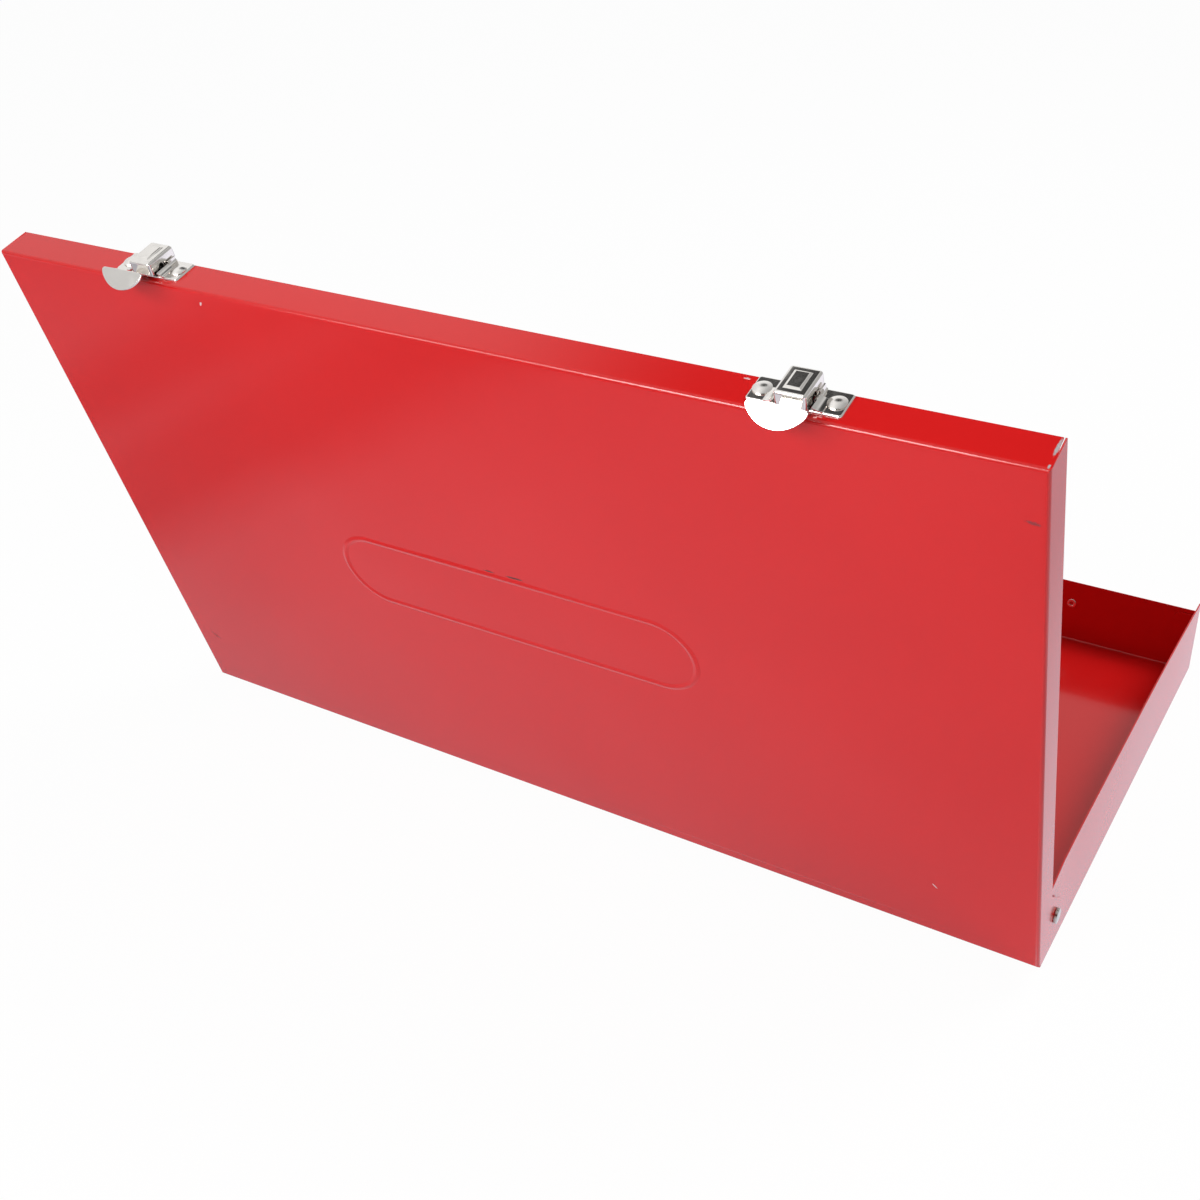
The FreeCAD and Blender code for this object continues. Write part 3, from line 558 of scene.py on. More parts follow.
PANEL = Matrix.Identity(3)
FRONT = Matrix.Rotation(math.radians(90), 3, "X")
LID_MARKS = [
    # The dent: a spot of painted shade, with a rougher gloss.
    ((252.4, 118.5, PANEL_LEVEL), PANEL, 135, (3.6, 1.1), DENT_SHADE_RED),
    ((-262.0, -134.6, PANEL_LEVEL), PANEL, -7, (3.4, 1.0), DULL_SCUFF),
    ((-216.8, 119.7, PANEL_LEVEL), PANEL, 130, (2.4, 0.5), PALE_CHIP),
    ((132.6, -154.6, PANEL_LEVEL), PANEL, 60, (1.4, 0.6), PALE_CHIP),
    ((6.5, -20.2, PANEL_LEVEL), PANEL, 0, (3.6, 0.6), DIRT),
    ((-8.5, -20.4, PANEL_LEVEL), PANEL, 1, (5.6, 0.7), DIRT),
    ((-144.2, FRONT_LEVEL, 38.0), FRONT, 0, (1.6, 0.6), PALE_CHIP),
    # The front corner seam and fold corner: pale grey that is partly bare steel and partly a painted glint.
    ((-266.4, FRONT_LEVEL, 41.6), FRONT, 90, (5.4, 0.8), BARE_STEEL_AND_GLINT),
    ((-266.7, FRONT_LEVEL, 52.0), FRONT, 90, (1.2, 0.6), BARE_STEEL_AND_GLINT),
]


def mark(finish, where, place, facing, turn, size):
    """1 inside a mark on the shut lid and 0 outside; place and half sizes in mm, turn in degrees."""
    opened = SHUT.inverted()
    turned = opened.to_3x3() @ facing @ Matrix.Rotation(math.radians(turn), 3, "Z")
    half_sizes = Vector((*size, MARK_DEPTH)) * MM
    sockets = {"Vector": where, "Location": opened @ (Vector(place) * MM), "Rotation": turned.to_euler(),
               "Scale": half_sizes}
    inside = finish.node("ShaderNodeMapping", {"vector_type": "TEXTURE"}, sockets)
    reach = finish.node("ShaderNodeVectorMath", {"operation": "LENGTH"}, {0: inside}, output="Value")
    ragged = finish.noise(where, RAGGED_SCALE, 2.0, 0.6)
    return finish.between(reach + ragged, 1.0, 1.6, 1.0, 0.0)


def red_enamel(name, marks=()):
    """Red paint with orange peel and haze, and marks where it is worn."""
    finish = Finish(bpy.data.materials.new(name))
    where = finish.place()
    clouds = finish.noise(where, CLOUD_SCALE, 2.0, 0.4)
    specks = finish.noise(where, SPECK_SCALE, 2.0, 0.6)
    peel = finish.noise(where, PEEL_SCALE, 1.0, 0.4)
    ripple = finish.noise(where, RIPPLE_SCALE, 1.0, 0.4)
    haze = finish.between(clouds, 0.3, 0.7)
    colour = finish.blend(haze * 0.7 + specks * 0.3, ENAMEL_DEEP, ENAMEL_RED)
    roughness = ENAMEL_ROUGHNESS + haze * 0.05 + (specks - 0.5) * 0.03
    for place, facing, turn, size, tint in marks:
        worn = mark(finish, where, place, facing, turn, size)
        colour = finish.blend(worn, colour, tint)
        roughness = roughness + worn * WORN_ROUGHNESS
    bumps = finish.bump(peel * 0.6 + ripple * 1.5, 0.05, 0.01 * MM)
    finish.set(Base_Color=colour, Roughness=roughness, Normal=bumps, Specular_IOR_Level=ENAMEL_SHINE)
    return finish


lid_enamel = red_enamel("lid_enamel", LID_MARKS)
tray_enamel = red_enamel("tray_enamel")
print("enamel:", lid_enamel.owner.name, tray_enamel.owner.name)

# %% [markdown]
# The latches are pressed from sheet steel and nickel plated: a clear mirror with faint polishing lines
# and dull fingerprints. Their rivets are the same metal, but tumbled, so they are satin. Springs and
# washers are plain steel and the hinge rivets are worn steel. The pins are painted near black: painted
# shade for the dark inside of each claw's slot.

# %% Plated and plain steel
LINE_STRETCH = (1.0, 9.0, 9.0)
LINE_SCALE = 420.0
PRINT_SCALE = 170.0
PRINT_DULLNESS = 0.86


def steel(name, tint, roughness, grain):
    """Steel with polishing lines, dull prints and a slight stain."""
    finish = Finish(bpy.data.materials.new(name))
    where = finish.place()
    stretched = finish.node("ShaderNodeMapping", sockets={"Vector": where, "Scale": LINE_STRETCH})
    lines = finish.noise(stretched, LINE_SCALE, 3.0, 0.6)
    prints = finish.between(finish.noise(where, PRINT_SCALE, 3.0, 0.6), 0.42, 0.75)
    dull = tuple(PRINT_DULLNESS * part for part in tint)
    colour = finish.blend(prints * 0.6 + lines * 0.3, tint, dull)
    finish.set(Base_Color=colour, Metallic=1.0, Roughness=roughness + prints * 0.08 + lines * grain)
    finish.set(Normal=finish.bump(lines, 0.05, 0.02 * MM))
    return finish.owner


nickel = steel("bright_nickel", (0.89, 0.86, 0.82), 0.10, 0.05)
satin_nickel = steel("satin_nickel", (0.88, 0.85, 0.815), 0.16, 0.08)
spring_steel = steel("spring_steel", (0.55, 0.54, 0.52), 0.28, 0.15)
worn_steel = steel("worn_steel", (0.50, 0.50, 0.47), 0.14, 0.10)
# The pins' near-black tint is painted shade for the dark inside of the claws' slots.
pin_shade_steel = steel("pin_painted_shade", (0.05, 0.048, 0.045), 0.34, 0.10)
print("metals:", nickel.name, satin_nickel.name, spring_steel.name, worn_steel.name, pin_shade_steel.name)

# %% [markdown]
# The lid is one sheet, cut at its corners and folded down on all four sides. Modelling follows the
# folding: the flat panel comes first, each wall is extruded from its own edge, and the ends of the front
# and rear walls are drawn in a little, which leaves the open corner seams that the real lid has. Two ears
# grow from the side walls for the hinge rivets. Rounding the folds, pressing slight waves into the panel,
# giving the sheet its thickness and drilling the ears come last.

# %% Lid sheet
SHEET = 0.8 * MM
FOLD_RADIUS = 2.0 * MM
FOLD_STEPS = 5
OUTLINE_HEIGHT = 0.4 * MM
LID_DEPTH = 18.5 * MM
REAR_FLANGE = 11.74 * MM
CORNER_SEAM = 1.3 * MM
EAR_START = 125.0 * MM
EAR_FRONT = 147.0 * MM
EAR_CORNER = 3.0 * MM

lid_side = lid_high.x
lid_front = lid_low.y
lid_rear = lid_high.y
lid_top = lid_high.z - OUTLINE_HEIGHT
lid_rim = lid_top - LID_DEPTH
ear_edge = lid_low.z

lid_sheet = start("lid_sheet", bpy.ops.mesh.primitive_plane_add, (0, 0, lid_top),
                  (lid_side, lid_rear, 1), size=2)
seam_share = (lid_side - CORNER_SEAM) / lid_side
for wall, depth in ((lid_front, LID_DEPTH), (lid_rear, REAR_FLANGE)):
    pick("edges", lambda middle, way: near(middle.y, wall) and near(middle.z, lid_top))
    extrude((0, 0, -depth))
    bpy.ops.transform.resize(value=(seam_share, 1, 1))
pick("edges", lambda middle, way: near(abs(middle.x), lid_side) and near(middle.z, lid_top))
extrude((0, 0, -LID_DEPTH))

pick("faces", lambda middle, way: near(abs(middle.x), lid_side))
bpy.ops.mesh.bisect(plane_co=(0, EAR_START, 0), plane_no=(0, 1, 0))
pick("edges", lambda middle, way: near(abs(middle.x), lid_side) and near(middle.z, lid_rim)
     and middle.y > EAR_START)
extrude((0, 0, ear_edge - lid_rim))
pick("points", lambda middle, way: near(middle.z, ear_edge) and near(middle.y, EAR_START))
bpy.ops.transform.translate(value=(0, EAR_FRONT - EAR_START, 0))
pick("points", lambda middle, way: near(middle.z, ear_edge))
bpy.ops.mesh.bevel(offset=EAR_CORNER, segments=FOLD_STEPS, affect="VERTICES")
pick("edges", lambda middle, way: near(middle.z, lid_top))
bpy.ops.mesh.bevel(offset=FOLD_RADIUS, segments=FOLD_STEPS, affect="EDGES")
print("lid folded from one sheet, faces:", len(lid_sheet.data.polygons))

# %% [markdown]
# Rolled sheet is never quite flat. The panel inside the folds is cut into a fine grid, and a cloud
# texture moves the grid up and down by a fraction of a millimetre. Then the sheet is thickened and the
# ears are drilled.

# %% Waves and thickness of the lid
PANEL_BORDER = 5.0 * MM
PANEL_CUTS = 40
WAVE_LENGTH = 0.11
WAVE_HEIGHT = 0.9 * MM
HINGE_HOLE = 2.6 * MM


def on_panel(middle, way):
    """Whether a face lies on the flat panel."""
    return way.z > 0.99 and near(middle.z, lid_top)


pick("faces", on_panel)
bpy.ops.mesh.bisect(plane_co=(0, EAR_START, 0), plane_no=(0, 1, 0))
pick("faces", on_panel)
bpy.ops.mesh.inset(thickness=PANEL_BORDER)
bpy.ops.mesh.subdivide(number_cuts=PANEL_CUTS)
bpy.ops.mesh.select_less()
bpy.ops.object.vertex_group_assign_new()
close_mesh()
wave_texture = bpy.data.textures.new("panel_waves", "CLOUDS")
wave_texture.noise_scale = WAVE_LENGTH
wave_texture.noise_depth = 1


def press_waves(piece, group=""):
    """Push a flat sheet up and down a little, as rolled sheet is."""
    modify(piece, "DISPLACE", texture=wave_texture, strength=WAVE_HEIGHT, mid_level=0.5, direction="Z",
           texture_coords="LOCAL", vertex_group=group)


press_waves(lid_sheet, lid_sheet.vertex_groups[0].name)
modify(lid_sheet, "SOLIDIFY", thickness=SHEET, offset=-1.0, use_even_offset=True)
hole_cutter = start("hole_cutter", bpy.ops.mesh.primitive_cylinder_add, (0, HINGE_POINT.y, HINGE_POINT.z),
                    radius=HINGE_HOLE, depth=3 * lid_side, vertices=40, rotation=(0, math.pi / 2, 0))
close_mesh()
modify(lid_sheet, "BOOLEAN", object=hole_cutter, operation="DIFFERENCE", solver="EXACT")
bpy.data.objects.remove(hole_cutter)
ease_edges(lid_sheet, CUT_EDGE)
smooth(lid_sheet)
swing_open(lid_sheet)
dress(lid_sheet, lid_enamel.owner, "lid", "lid_paint", "lid_shell")

# %% [markdown]
# The panel carries one pressed line: a long rounded outline that stands up from the sheet. It could be a
# bump in the paint, but a raised line that catches the light is geometry. A circle is pulled apart into
# the long outline, then inset and raised into a low round bead, and it gets the same waves as the panel
# that it is pressed from.

# %% Pressed outline
OUTLINE_LENGTH = 213.0 * MM
OUTLINE_WIDTH = 49.0 * MM
OUTLINE_CENTRE = 5.0 * MM
OUTLINE_SINK = 0.1 * MM
BEAD_STEPS = [(1.6, 0.52), (0.4, 0.08), (0.2, 0.01), (0.2, -0.01), (0.4, -0.08), (1.6, -0.52)]
POINT_SLACK = 0.1 * MM

half_width = OUTLINE_WIDTH / 2
outline_foot = lid_top - OUTLINE_SINK
outline = start("lid_outline", bpy.ops.mesh.primitive_circle_add, (0, OUTLINE_CENTRE, outline_foot),
                radius=half_width, vertices=64, fill_type="NGON")
for side in (-1, 1):
    pick("points", lambda middle, way: middle.x * side > POINT_SLACK)
    bpy.ops.transform.translate(value=(side * (OUTLINE_LENGTH / 2 - half_width), 0, 0))
pick("points", lambda middle, way: abs(middle.x) < POINT_SLACK)
bpy.ops.mesh.dissolve_verts()
pick("faces", everything)
bpy.ops.mesh.subdivide(number_cuts=1)
pick("faces", everything)
print("outline ready to press")
for inset, rise in BEAD_STEPS:
    bpy.ops.mesh.inset(thickness=inset * MM, depth=rise * MM)
bpy.ops.mesh.delete(type="FACE")
pick("edges", lambda middle, way: near(middle.z, outline_foot))
bpy.ops.mesh.bridge_edge_loops()
close_mesh()
press_waves(outline)
smooth(outline, 60)
swing_open(outline)
dress(outline, lid_enamel.owner, "lid", "lid_paint")

# %% [markdown]
# The tray is folded from sheet too. Its rear and side walls are high, and its front wall is lower, so
# that the lid's front wall can close over it. The tops of the side walls have been pushed in a little, as
# on any used tray, so each side wall is cut into stations, and the top of each station is moved by its
# share of the bow. The bow fades gently towards the front and stays almost full until close to the rear.

# %% Tray sheet
TRAY_FRONT_HEIGHT = 43.6 * MM
WALL_BOW = 1.4 * MM
BOW_STATIONS = 12
FRONT_POWER = 2
REAR_POWER = 8

tray_low, tray_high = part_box("base_tray")
tray_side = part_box("tray_end_right")[1][0]
tray_front = tray_low[1]
tray_rear = tray_high[1]
tray_top = tray_high[2]
tray_middle = (tray_front + tray_rear) / 2
tray_reach = (tray_rear - tray_front) / 2

tray_sheet = start("tray_sheet", bpy.ops.mesh.primitive_plane_add, (0, tray_middle, 0),
                   (tray_side, tray_reach, 1), size=2)
for wall, height in ((tray_front, TRAY_FRONT_HEIGHT), (tray_rear, tray_top)):
    pick("edges", lambda middle, way: near(middle.y, wall) and near(middle.z, 0))
    extrude((0, 0, height))
pick("edges", lambda middle, way: near(abs(middle.x), tray_side) and near(middle.y, tray_middle))
extrude((0, 0, tray_top))
pick("faces", lambda middle, way: near(abs(middle.x), tray_side))
bpy.ops.mesh.bisect(plane_co=(0, 0, TRAY_FRONT_HEIGHT), plane_no=(0, 0, 1))
shares = [2 * step / BOW_STATIONS - 1 for step in range(1, BOW_STATIONS)]
for share in shares:
    pick("faces", lambda middle, way: near(abs(middle.x), tray_side))
    bpy.ops.mesh.bisect(plane_co=(0, tray_middle + share * tray_reach, 0), plane_no=(0, 1, 0))
for share in shares:
    station = tray_middle + share * tray_reach
    power = REAR_POWER if share > 0 else FRONT_POWER
    bow = WALL_BOW * (1 - share ** power)
    for side in (-1, 1):
        for height in (TRAY_FRONT_HEIGHT, tray_top):
            pick("points", lambda middle, way: near(middle.y, station) and near(middle.z, height)
                 and near(middle.x, side * tray_side))
            bpy.ops.transform.translate(value=(-side * bow * height / tray_top, 0, 0))
pick("edges", lambda middle, way: near(middle.z, 0))
bpy.ops.mesh.bevel(offset=FOLD_RADIUS, segments=FOLD_STEPS, affect="EDGES")
close_mesh(outward=False)
print("tray folded, points:", len(tray_sheet.data.vertices))

# %% [markdown]
# Short tabs inside the corners hold the walls together. Each is a small plane with two rounded corners,
# which is thickened like the sheet and joined to it.

# %% Tabs in the tray's corners
TAB_WIDTH = 14.0 * MM
TAB_MARGIN = 3.0 * MM
TAB_CORNER = 1.5 * TAB_MARGIN

tab_height = TRAY_FRONT_HEIGHT - 2 * TAB_MARGIN
tab_middle = TRAY_FRONT_HEIGHT / 2
tabs = []
for side in (-1, 1):
    for wall, facing in ((tray_front, 1), (tray_rear, -1)):
        middle_x = side * (tray_side - SHEET - TAB_WIDTH / 2)
        place = (middle_x, wall + facing * SHEET, tab_middle)
        tab = start("tab", bpy.ops.mesh.primitive_plane_add, place, (TAB_WIDTH, 1, tab_height), size=1,
                    rotation=(-facing * math.pi / 2, 0, 0))
        pick("points", lambda middle, way: (middle.x - middle_x) * side < 0)
        bpy.ops.mesh.bevel(offset=TAB_CORNER, segments=6, affect="VERTICES")
        close_mesh(outward=False)
        tabs.append(tab)
modify(tray_sheet, "SOLIDIFY", thickness=SHEET, offset=1.0, use_even_offset=True)
for tab in tabs:
    modify(tab, "SOLIDIFY", thickness=SHEET, offset=1.0)
join(tray_sheet, *tabs)
ease_edges(tray_sheet, CUT_EDGE)
smooth(tray_sheet)
dress(tray_sheet, tray_enamel.owner, "base", "tray_paint", "base_tray", "tray_end_left", "tray_end_right")

# %% [markdown]
# Rivets are turned shapes. Drawing half of the section and spinning it about the rivet's axis gives a
# round head, its shank and its set end in one closed mesh. A single point, extruded from corner to
# corner, draws the section.

# %% Turned pieces
def turn(name, section, place, axis, out, steps=40):
    """Spin a section, given as (distance along the axis, radius) in mm, about an axis through a place."""
    axis = Vector(axis)
    out = Vector(out)
    corners = [Vector(place) + (axis * along + out * radius) * MM for along, radius in section]
    piece = draw_path(name, corners)
    bpy.ops.mesh.spin(steps=steps, angle=2 * math.pi, center=place, axis=axis)
    close_mesh()
    return piece


print("turning ready")

# %% Hinge rivets
HINGE_HEAD_BASE = 268.1
HINGE_SHANK = 2.5
HINGE_SET_END = [
    (266.0, 0.0), (266.0, 1.4), (264.95, 1.4), (264.9, 1.5), (264.9, 3.5), (265.2, 3.8), (265.4, 3.8),
    (265.4, HINGE_SHANK),
]
HINGE_HEAD = [(0.0, 3.8), (0.2, 3.95), (1.2, 3.95), (1.5, 3.85), (1.65, 3.6), (1.7, 2.6), (1.7, 0.0)]

hinge_head = [(HINGE_HEAD_BASE + rise, radius) for rise, radius in HINGE_HEAD]
hinge_section = HINGE_SET_END + [(HINGE_HEAD_BASE, HINGE_SHANK)] + hinge_head
for side, side_name in ((-1, "left"), (1, "right")):
    rivet = turn("hinge_rivet_" + side_name + "_turned", hinge_section, (0, HINGE_POINT.y, HINGE_POINT.z),
                 (side, 0, 0), (0, 0, 1))
    smooth(rivet)
    dress(rivet, worn_steel, "base", "rivet_steel", "hinge_rivet_" + side_name)

# %% [markdown]
# Each latch is a plate riveted to the lid's front wall, a pin across it, and a claw that rocks on the
# pin. All of it is drawn once, in the middle of the shut lid's front wall, in mm across, out from the
# wall and up, and then copied to both places. The plate is a flat sheet with clipped corners and a window
# behind the pin; curled lugs rise from it beside the claw.

# %% Latch plates
latch_places = {name: sum(shut_box("latch_plate_" + name), Vector()).x / 2 for name in ("left", "right")}
plate_low, plate_high = shut_box("latch_plate_left")
PLATE_HALF = (plate_high.x - plate_low.x) / 2 / MM
PLATE_LOW = plate_low.z / MM
PLATE_HIGH = plate_high.z / MM
PLATE_SHEET = 1.0
EDGE_ROUND = 0.8
CLIPPED_CORNER = 1.4
WINDOW_ACROSS = 6.0
WINDOW_UP = 2.6
PIN_OUT = 2.4
PIN_UP = 44.0
plate_middle = (PLATE_LOW + PLATE_HIGH) / 2
print("latches at, mm:", {name: round(place / MM, 1) for name, place in latch_places.items()})


def spot(across, out, up):
    """A place on the latch in mm: across the case, out from the lid's front wall, and up."""
    return Vector((across * MM, lid_front - out * MM, up * MM))


def cut(across=None, up=None, out=None):
    """Bisect what is selected with a plane at one of the latch's coordinates."""
    if across is not None:
        bpy.ops.mesh.bisect(plane_co=spot(across, 0, 0), plane_no=(1, 0, 0))
    if up is not None:
        bpy.ops.mesh.bisect(plane_co=spot(0, 0, up), plane_no=(0, 0, 1))
    if out is not None:
        bpy.ops.mesh.bisect(plane_co=spot(0, out, 0), plane_no=(0, 1, 0))


def on_rim(middle):
    """Whether an edge of the plate lies on its outer rim."""
    across = abs(middle.x) / MM
    up = abs(middle.z / MM - plate_middle)
    return across > PLATE_HALF - 1.0 or up > (PLATE_HIGH - PLATE_LOW) / 2 - 0.1


plate = start("plate", bpy.ops.mesh.primitive_plane_add, spot(0, PLATE_SHEET, plate_middle),
              (2 * PLATE_HALF, 1, PLATE_HIGH - PLATE_LOW), size=MM, rotation=(math.pi / 2, 0, 0))
pick("points", everything)
bpy.ops.mesh.bevel(offset=CLIPPED_CORNER * MM, segments=4, affect="VERTICES")
for across in (-WINDOW_ACROSS, WINDOW_ACROSS):
    pick("faces", everything)
    cut(across=across)
for up in (PIN_UP - WINDOW_UP, PIN_UP + WINDOW_UP):
    pick("faces", everything)
    cut(up=up)
pick("faces", lambda middle, way: abs(middle.x) < WINDOW_ACROSS * MM
     and abs(middle.z - PIN_UP * MM) < WINDOW_UP * MM)
bpy.ops.mesh.delete(type="FACE")
close_mesh(outward=False)
modify(plate, "SOLIDIFY", thickness=PLATE_SHEET * MM, offset=-1.0)
select_only(plate)
bpy.ops.object.mode_set(mode="EDIT")
pick("edges", lambda middle, way: near(middle.y, lid_front - PLATE_SHEET * MM) and on_rim(middle))
bpy.ops.mesh.bevel(offset=EDGE_ROUND * MM, segments=4, affect="EDGES")
close_mesh()
print("plate ready, points:", len(plate.data.vertices))

# %% [markdown]
# The lugs are strips of sheet, drawn as a curled line and extruded upwards. Two bearings behind the claw
# carry the pin. All of them are joined to the plate before it is copied.

# %% Lugs of the latch plate
LUG_CURL = [(12.4, 1.0), (11.4, 1.06), (10.4, 1.25), (9.5, 1.6), (8.7, 2.1), (8.1, 2.75)]
EAR_CURL = [(8.6, 1.0), (8.0, 1.3), (7.7, 1.9), (7.6, 2.6), (7.6, 3.6)]
LUG_SHEET = 0.8
LUG_EDGE = 0.15
BEARING_ACROSS = 3.4
BEARING_OUT = 2.6
BEARING_SIZE = (1.0, 4.4, 5.6)
BEARING_ROUND = 2.4


def curl(name, path, low, high):
    """Strips of sheet between two heights along a path of (across, out), one on each side of the claw."""
    strips = []
    for side in (-1, 1):
        places = [spot(side * across, out, low) for across, out in path]
        strip = draw_path(name, places)
        extrude((0, 0, (high - low) * MM))
        close_mesh()
        modify(strip, "SOLIDIFY", thickness=LUG_SHEET * MM, offset=0.0)
        strips.append(strip)
    return strips


lugs = curl("lug", LUG_CURL, plate_middle - 1.2, PLATE_HIGH - 0.2)
lugs += curl("ear", EAR_CURL, PLATE_LOW + 0.2, plate_middle - 1.8)
bearing_top = spot(0, BEARING_OUT + BEARING_SIZE[1] / 2, 0).y
for side in (-1, 1):
    bearing_middle = spot(side * BEARING_ACROSS, BEARING_OUT, PIN_UP)
    bearing = start("bearing", bpy.ops.mesh.primitive_cube_add, bearing_middle, BEARING_SIZE, size=MM)
    pick("edges", lambda middle, way: near(middle.y, bearing_top) and abs(way.x) > 0.9)
    bpy.ops.mesh.bevel(offset=BEARING_ROUND * MM, segments=6, affect="EDGES")
    close_mesh()
    lugs.append(bearing)
for lug in lugs:
    ease_edges(lug, LUG_EDGE)
join(plate, *lugs)
smooth(plate)
for name, place in latch_places.items():
    piece = copy(plate, "latch_plate_" + name + "_pressed", (place, 0, 0))
    swing_open(piece)
    dress(piece, nickel, "lid", "plate_steel", "latch_plate_" + name)
bpy.data.objects.remove(plate)

# %% [markdown]
# Four rivets with low, domed heads hold the two plates. The heads are satin, and the set ends inside the
# lid are rings with a bore.

# %% Latch rivets
RIVET_ACROSS = 15.5
RIVET_UP = 42.8
HEAD_RADIUS = 4.0
HEAD_RIM = 0.5
DOME_SLOPE = math.radians(36)
DOME_STEPS = 10
RING_END = [
    (0.2, 0.0), (0.2, 1.35), (-1.1, 1.4), (-1.25, 1.6), (-1.3, 2.0), (-1.25, 2.5), (-1.1, 2.85),
    (-0.8, 3.0), (-0.8, 1.6),
]

dome_radius = HEAD_RADIUS / math.sin(DOME_SLOPE)
dome_angles = [DOME_SLOPE * (1 - step / DOME_STEPS) for step in range(DOME_STEPS + 1)]
dome_base = PLATE_SHEET + HEAD_RIM - dome_radius * math.cos(DOME_SLOPE)
head = [(dome_base + dome_radius * math.cos(angle), dome_radius * math.sin(angle)) for angle in dome_angles]
rim = [(PLATE_SHEET, 1.6), (PLATE_SHEET, HEAD_RADIUS - 0.3), (PLATE_SHEET + 0.25, HEAD_RADIUS - 0.05)]
latch_section = RING_END + rim + head
latch_rivet = turn("latch_rivet", latch_section, spot(0, 0, RIVET_UP), (0, -1, 0), (0, 0, 1))
smooth(latch_rivet)
for name, place in latch_places.items():
    outward = math.copysign(1, place)
    for which, side in (("outer", outward), ("inner", -outward)):
        node = "latch_rivet_" + name + "_" + which
        rivet = copy(latch_rivet, node + "_turned", (place + side * RIVET_ACROSS * MM, 0, 0))
        swing_open(rivet)
        dress(rivet, satin_nickel, "lid", "rivet_steel", node)
bpy.data.objects.remove(latch_rivet)

# %% [markdown]
# The claw is stamped from sheet: a box that is open to the wall, with rounded edges, a lip at its foot
# that catches the keeper, a raised field on its face, and a slot in each cheek that saddles the pin. The
# cheeks stand a little further off the plate at the foot, where the claw rocks down. A cube with one face
# removed, bevelled and given thickness, is close to how the press makes it. The slots are cut with a
# boolean.

# %% Claw box
CLAW_HALF = 6.8
CLAW_OUT = 8.2
CLAW_BACK = 1.7
ROCK_ROOM = 0.7
CLAW_LOW = 34.0
CLAW_HIGH = 51.2
LIP_OUT = 4.9
CLAW_SHEET = 1.0
CLAW_ROUND = 1.4
SLOT_WIDTH = 4.3
SLOT_TOP = 5.0
SLOT_ROUND = 2.1
SLOT_CUTTER_WIDTH = 40
FIELD_STEPS = [(1.5, 0), (0.15, 0.03), (0.3, 0.17), (0.4, 0.26), (0.3, 0.17), (0.15, 0.03)]

claw = start("claw", bpy.ops.mesh.primitive_cube_add,
             spot(0, (CLAW_OUT + CLAW_BACK) / 2, (CLAW_LOW + CLAW_HIGH) / 2),
             (2 * CLAW_HALF, CLAW_OUT - CLAW_BACK, CLAW_HIGH - CLAW_LOW), size=MM)
pick("faces", lambda middle, way: way.y > 0.9)
bpy.ops.mesh.delete(type="FACE")
pick("edges", lambda middle, way: not near(middle.y, lid_front - CLAW_BACK * MM))
bpy.ops.mesh.bevel(offset=CLAW_ROUND * MM, segments=4, affect="EDGES")
pick("faces", lambda middle, way: way.z < -0.99)
cut(out=LIP_OUT)
pick("faces", lambda middle, way: way.z < -0.99 and middle.y > lid_front - LIP_OUT * MM)
bpy.ops.mesh.delete(type="FACE")
pick("points", lambda middle, way: near(middle.y, lid_front - CLAW_BACK * MM) and middle.z < PIN_UP * MM)
bpy.ops.transform.translate(value=(0, -ROCK_ROOM * MM, 0))
pick("faces", lambda middle, way: way.y < -0.99)
for inset, rise in FIELD_STEPS:
    bpy.ops.mesh.inset(thickness=inset * MM, depth=rise * MM)
close_mesh(outward=False)
modify(claw, "SOLIDIFY", thickness=CLAW_SHEET * MM, offset=-1.0, use_even_offset=True)
slot_cutter = start("slot_cutter", bpy.ops.mesh.primitive_cube_add, spot(0, 0, PIN_UP),
                    (SLOT_CUTTER_WIDTH, 2 * SLOT_TOP, SLOT_WIDTH), size=MM)
pick("edges", lambda middle, way: abs(way.x) > 0.9 and middle.y < lid_front - 3 * MM)
bpy.ops.mesh.bevel(offset=SLOT_ROUND * MM, segments=8, affect="EDGES")
close_mesh()
modify(claw, "BOOLEAN", object=slot_cutter, operation="DIFFERENCE", solver="EXACT")
bpy.data.objects.remove(slot_cutter)
ease_edges(claw, CUT_EDGE)
print("claw box ready, points:", len(claw.data.vertices))

# %% [markdown]
# The thumb tab is the part of a leaning circle beyond a straight chord. A neck, extruded from the middle
# of the chord, joins it to the box, and the two corners of the half-moon are rounded.

# %% Thumb tab of the claw
NECK_HALF = 4.5
NECK_ROOT = (1.4, 51.0)
CHORD = (10.4, 60.5)
TAB_RADIUS = 14.63
TAB_DROP = 9.5
TAB_TILT = math.radians(45)
CORNER_ROUND = 2.8
CORNER_ACROSS = 11.0
TAB_SHEET = 1.0
TAB_EDGE = 0.25

tab_way = Vector((0, math.cos(TAB_TILT), math.sin(TAB_TILT)))
chord_place = spot(0, *CHORD)
tab_centre = chord_place + tab_way * (TAB_DROP - TAB_RADIUS) * MM
tab = start("thumb_tab", bpy.ops.mesh.primitive_circle_add, tab_centre, radius=TAB_RADIUS * MM,
            vertices=72, fill_type="NGON", rotation=(TAB_TILT, 0, 0))
pick("faces", everything)
bpy.ops.mesh.bisect(plane_co=chord_place, plane_no=tab_way, clear_inner=True)
for across in (-NECK_HALF, NECK_HALF):
    pick("faces", everything)
    cut(across=across)
pick("edges", lambda middle, way: abs(middle.x) < MM and (middle - chord_place).length < MM)
extrude(spot(0, *NECK_ROOT) - chord_place)
pick("points", lambda middle, way: abs(middle.x) > CORNER_ACROSS * MM
     and POINT_SLACK < (middle - chord_place).dot(tab_way) < CORNER_ROUND * MM)
bpy.ops.mesh.dissolve_verts()
pick("points", lambda middle, way: abs(middle.x) > CORNER_ACROSS * MM
     and (middle - chord_place).dot(tab_way) < POINT_SLACK)
bpy.ops.mesh.bevel(offset=CORNER_ROUND * MM, segments=6, affect="VERTICES")
close_mesh(outward=False)
modify(tab, "SOLIDIFY", thickness=TAB_SHEET * MM, offset=0.0)
ease_edges(tab, TAB_EDGE, 3)
join(claw, tab)
smooth(claw)
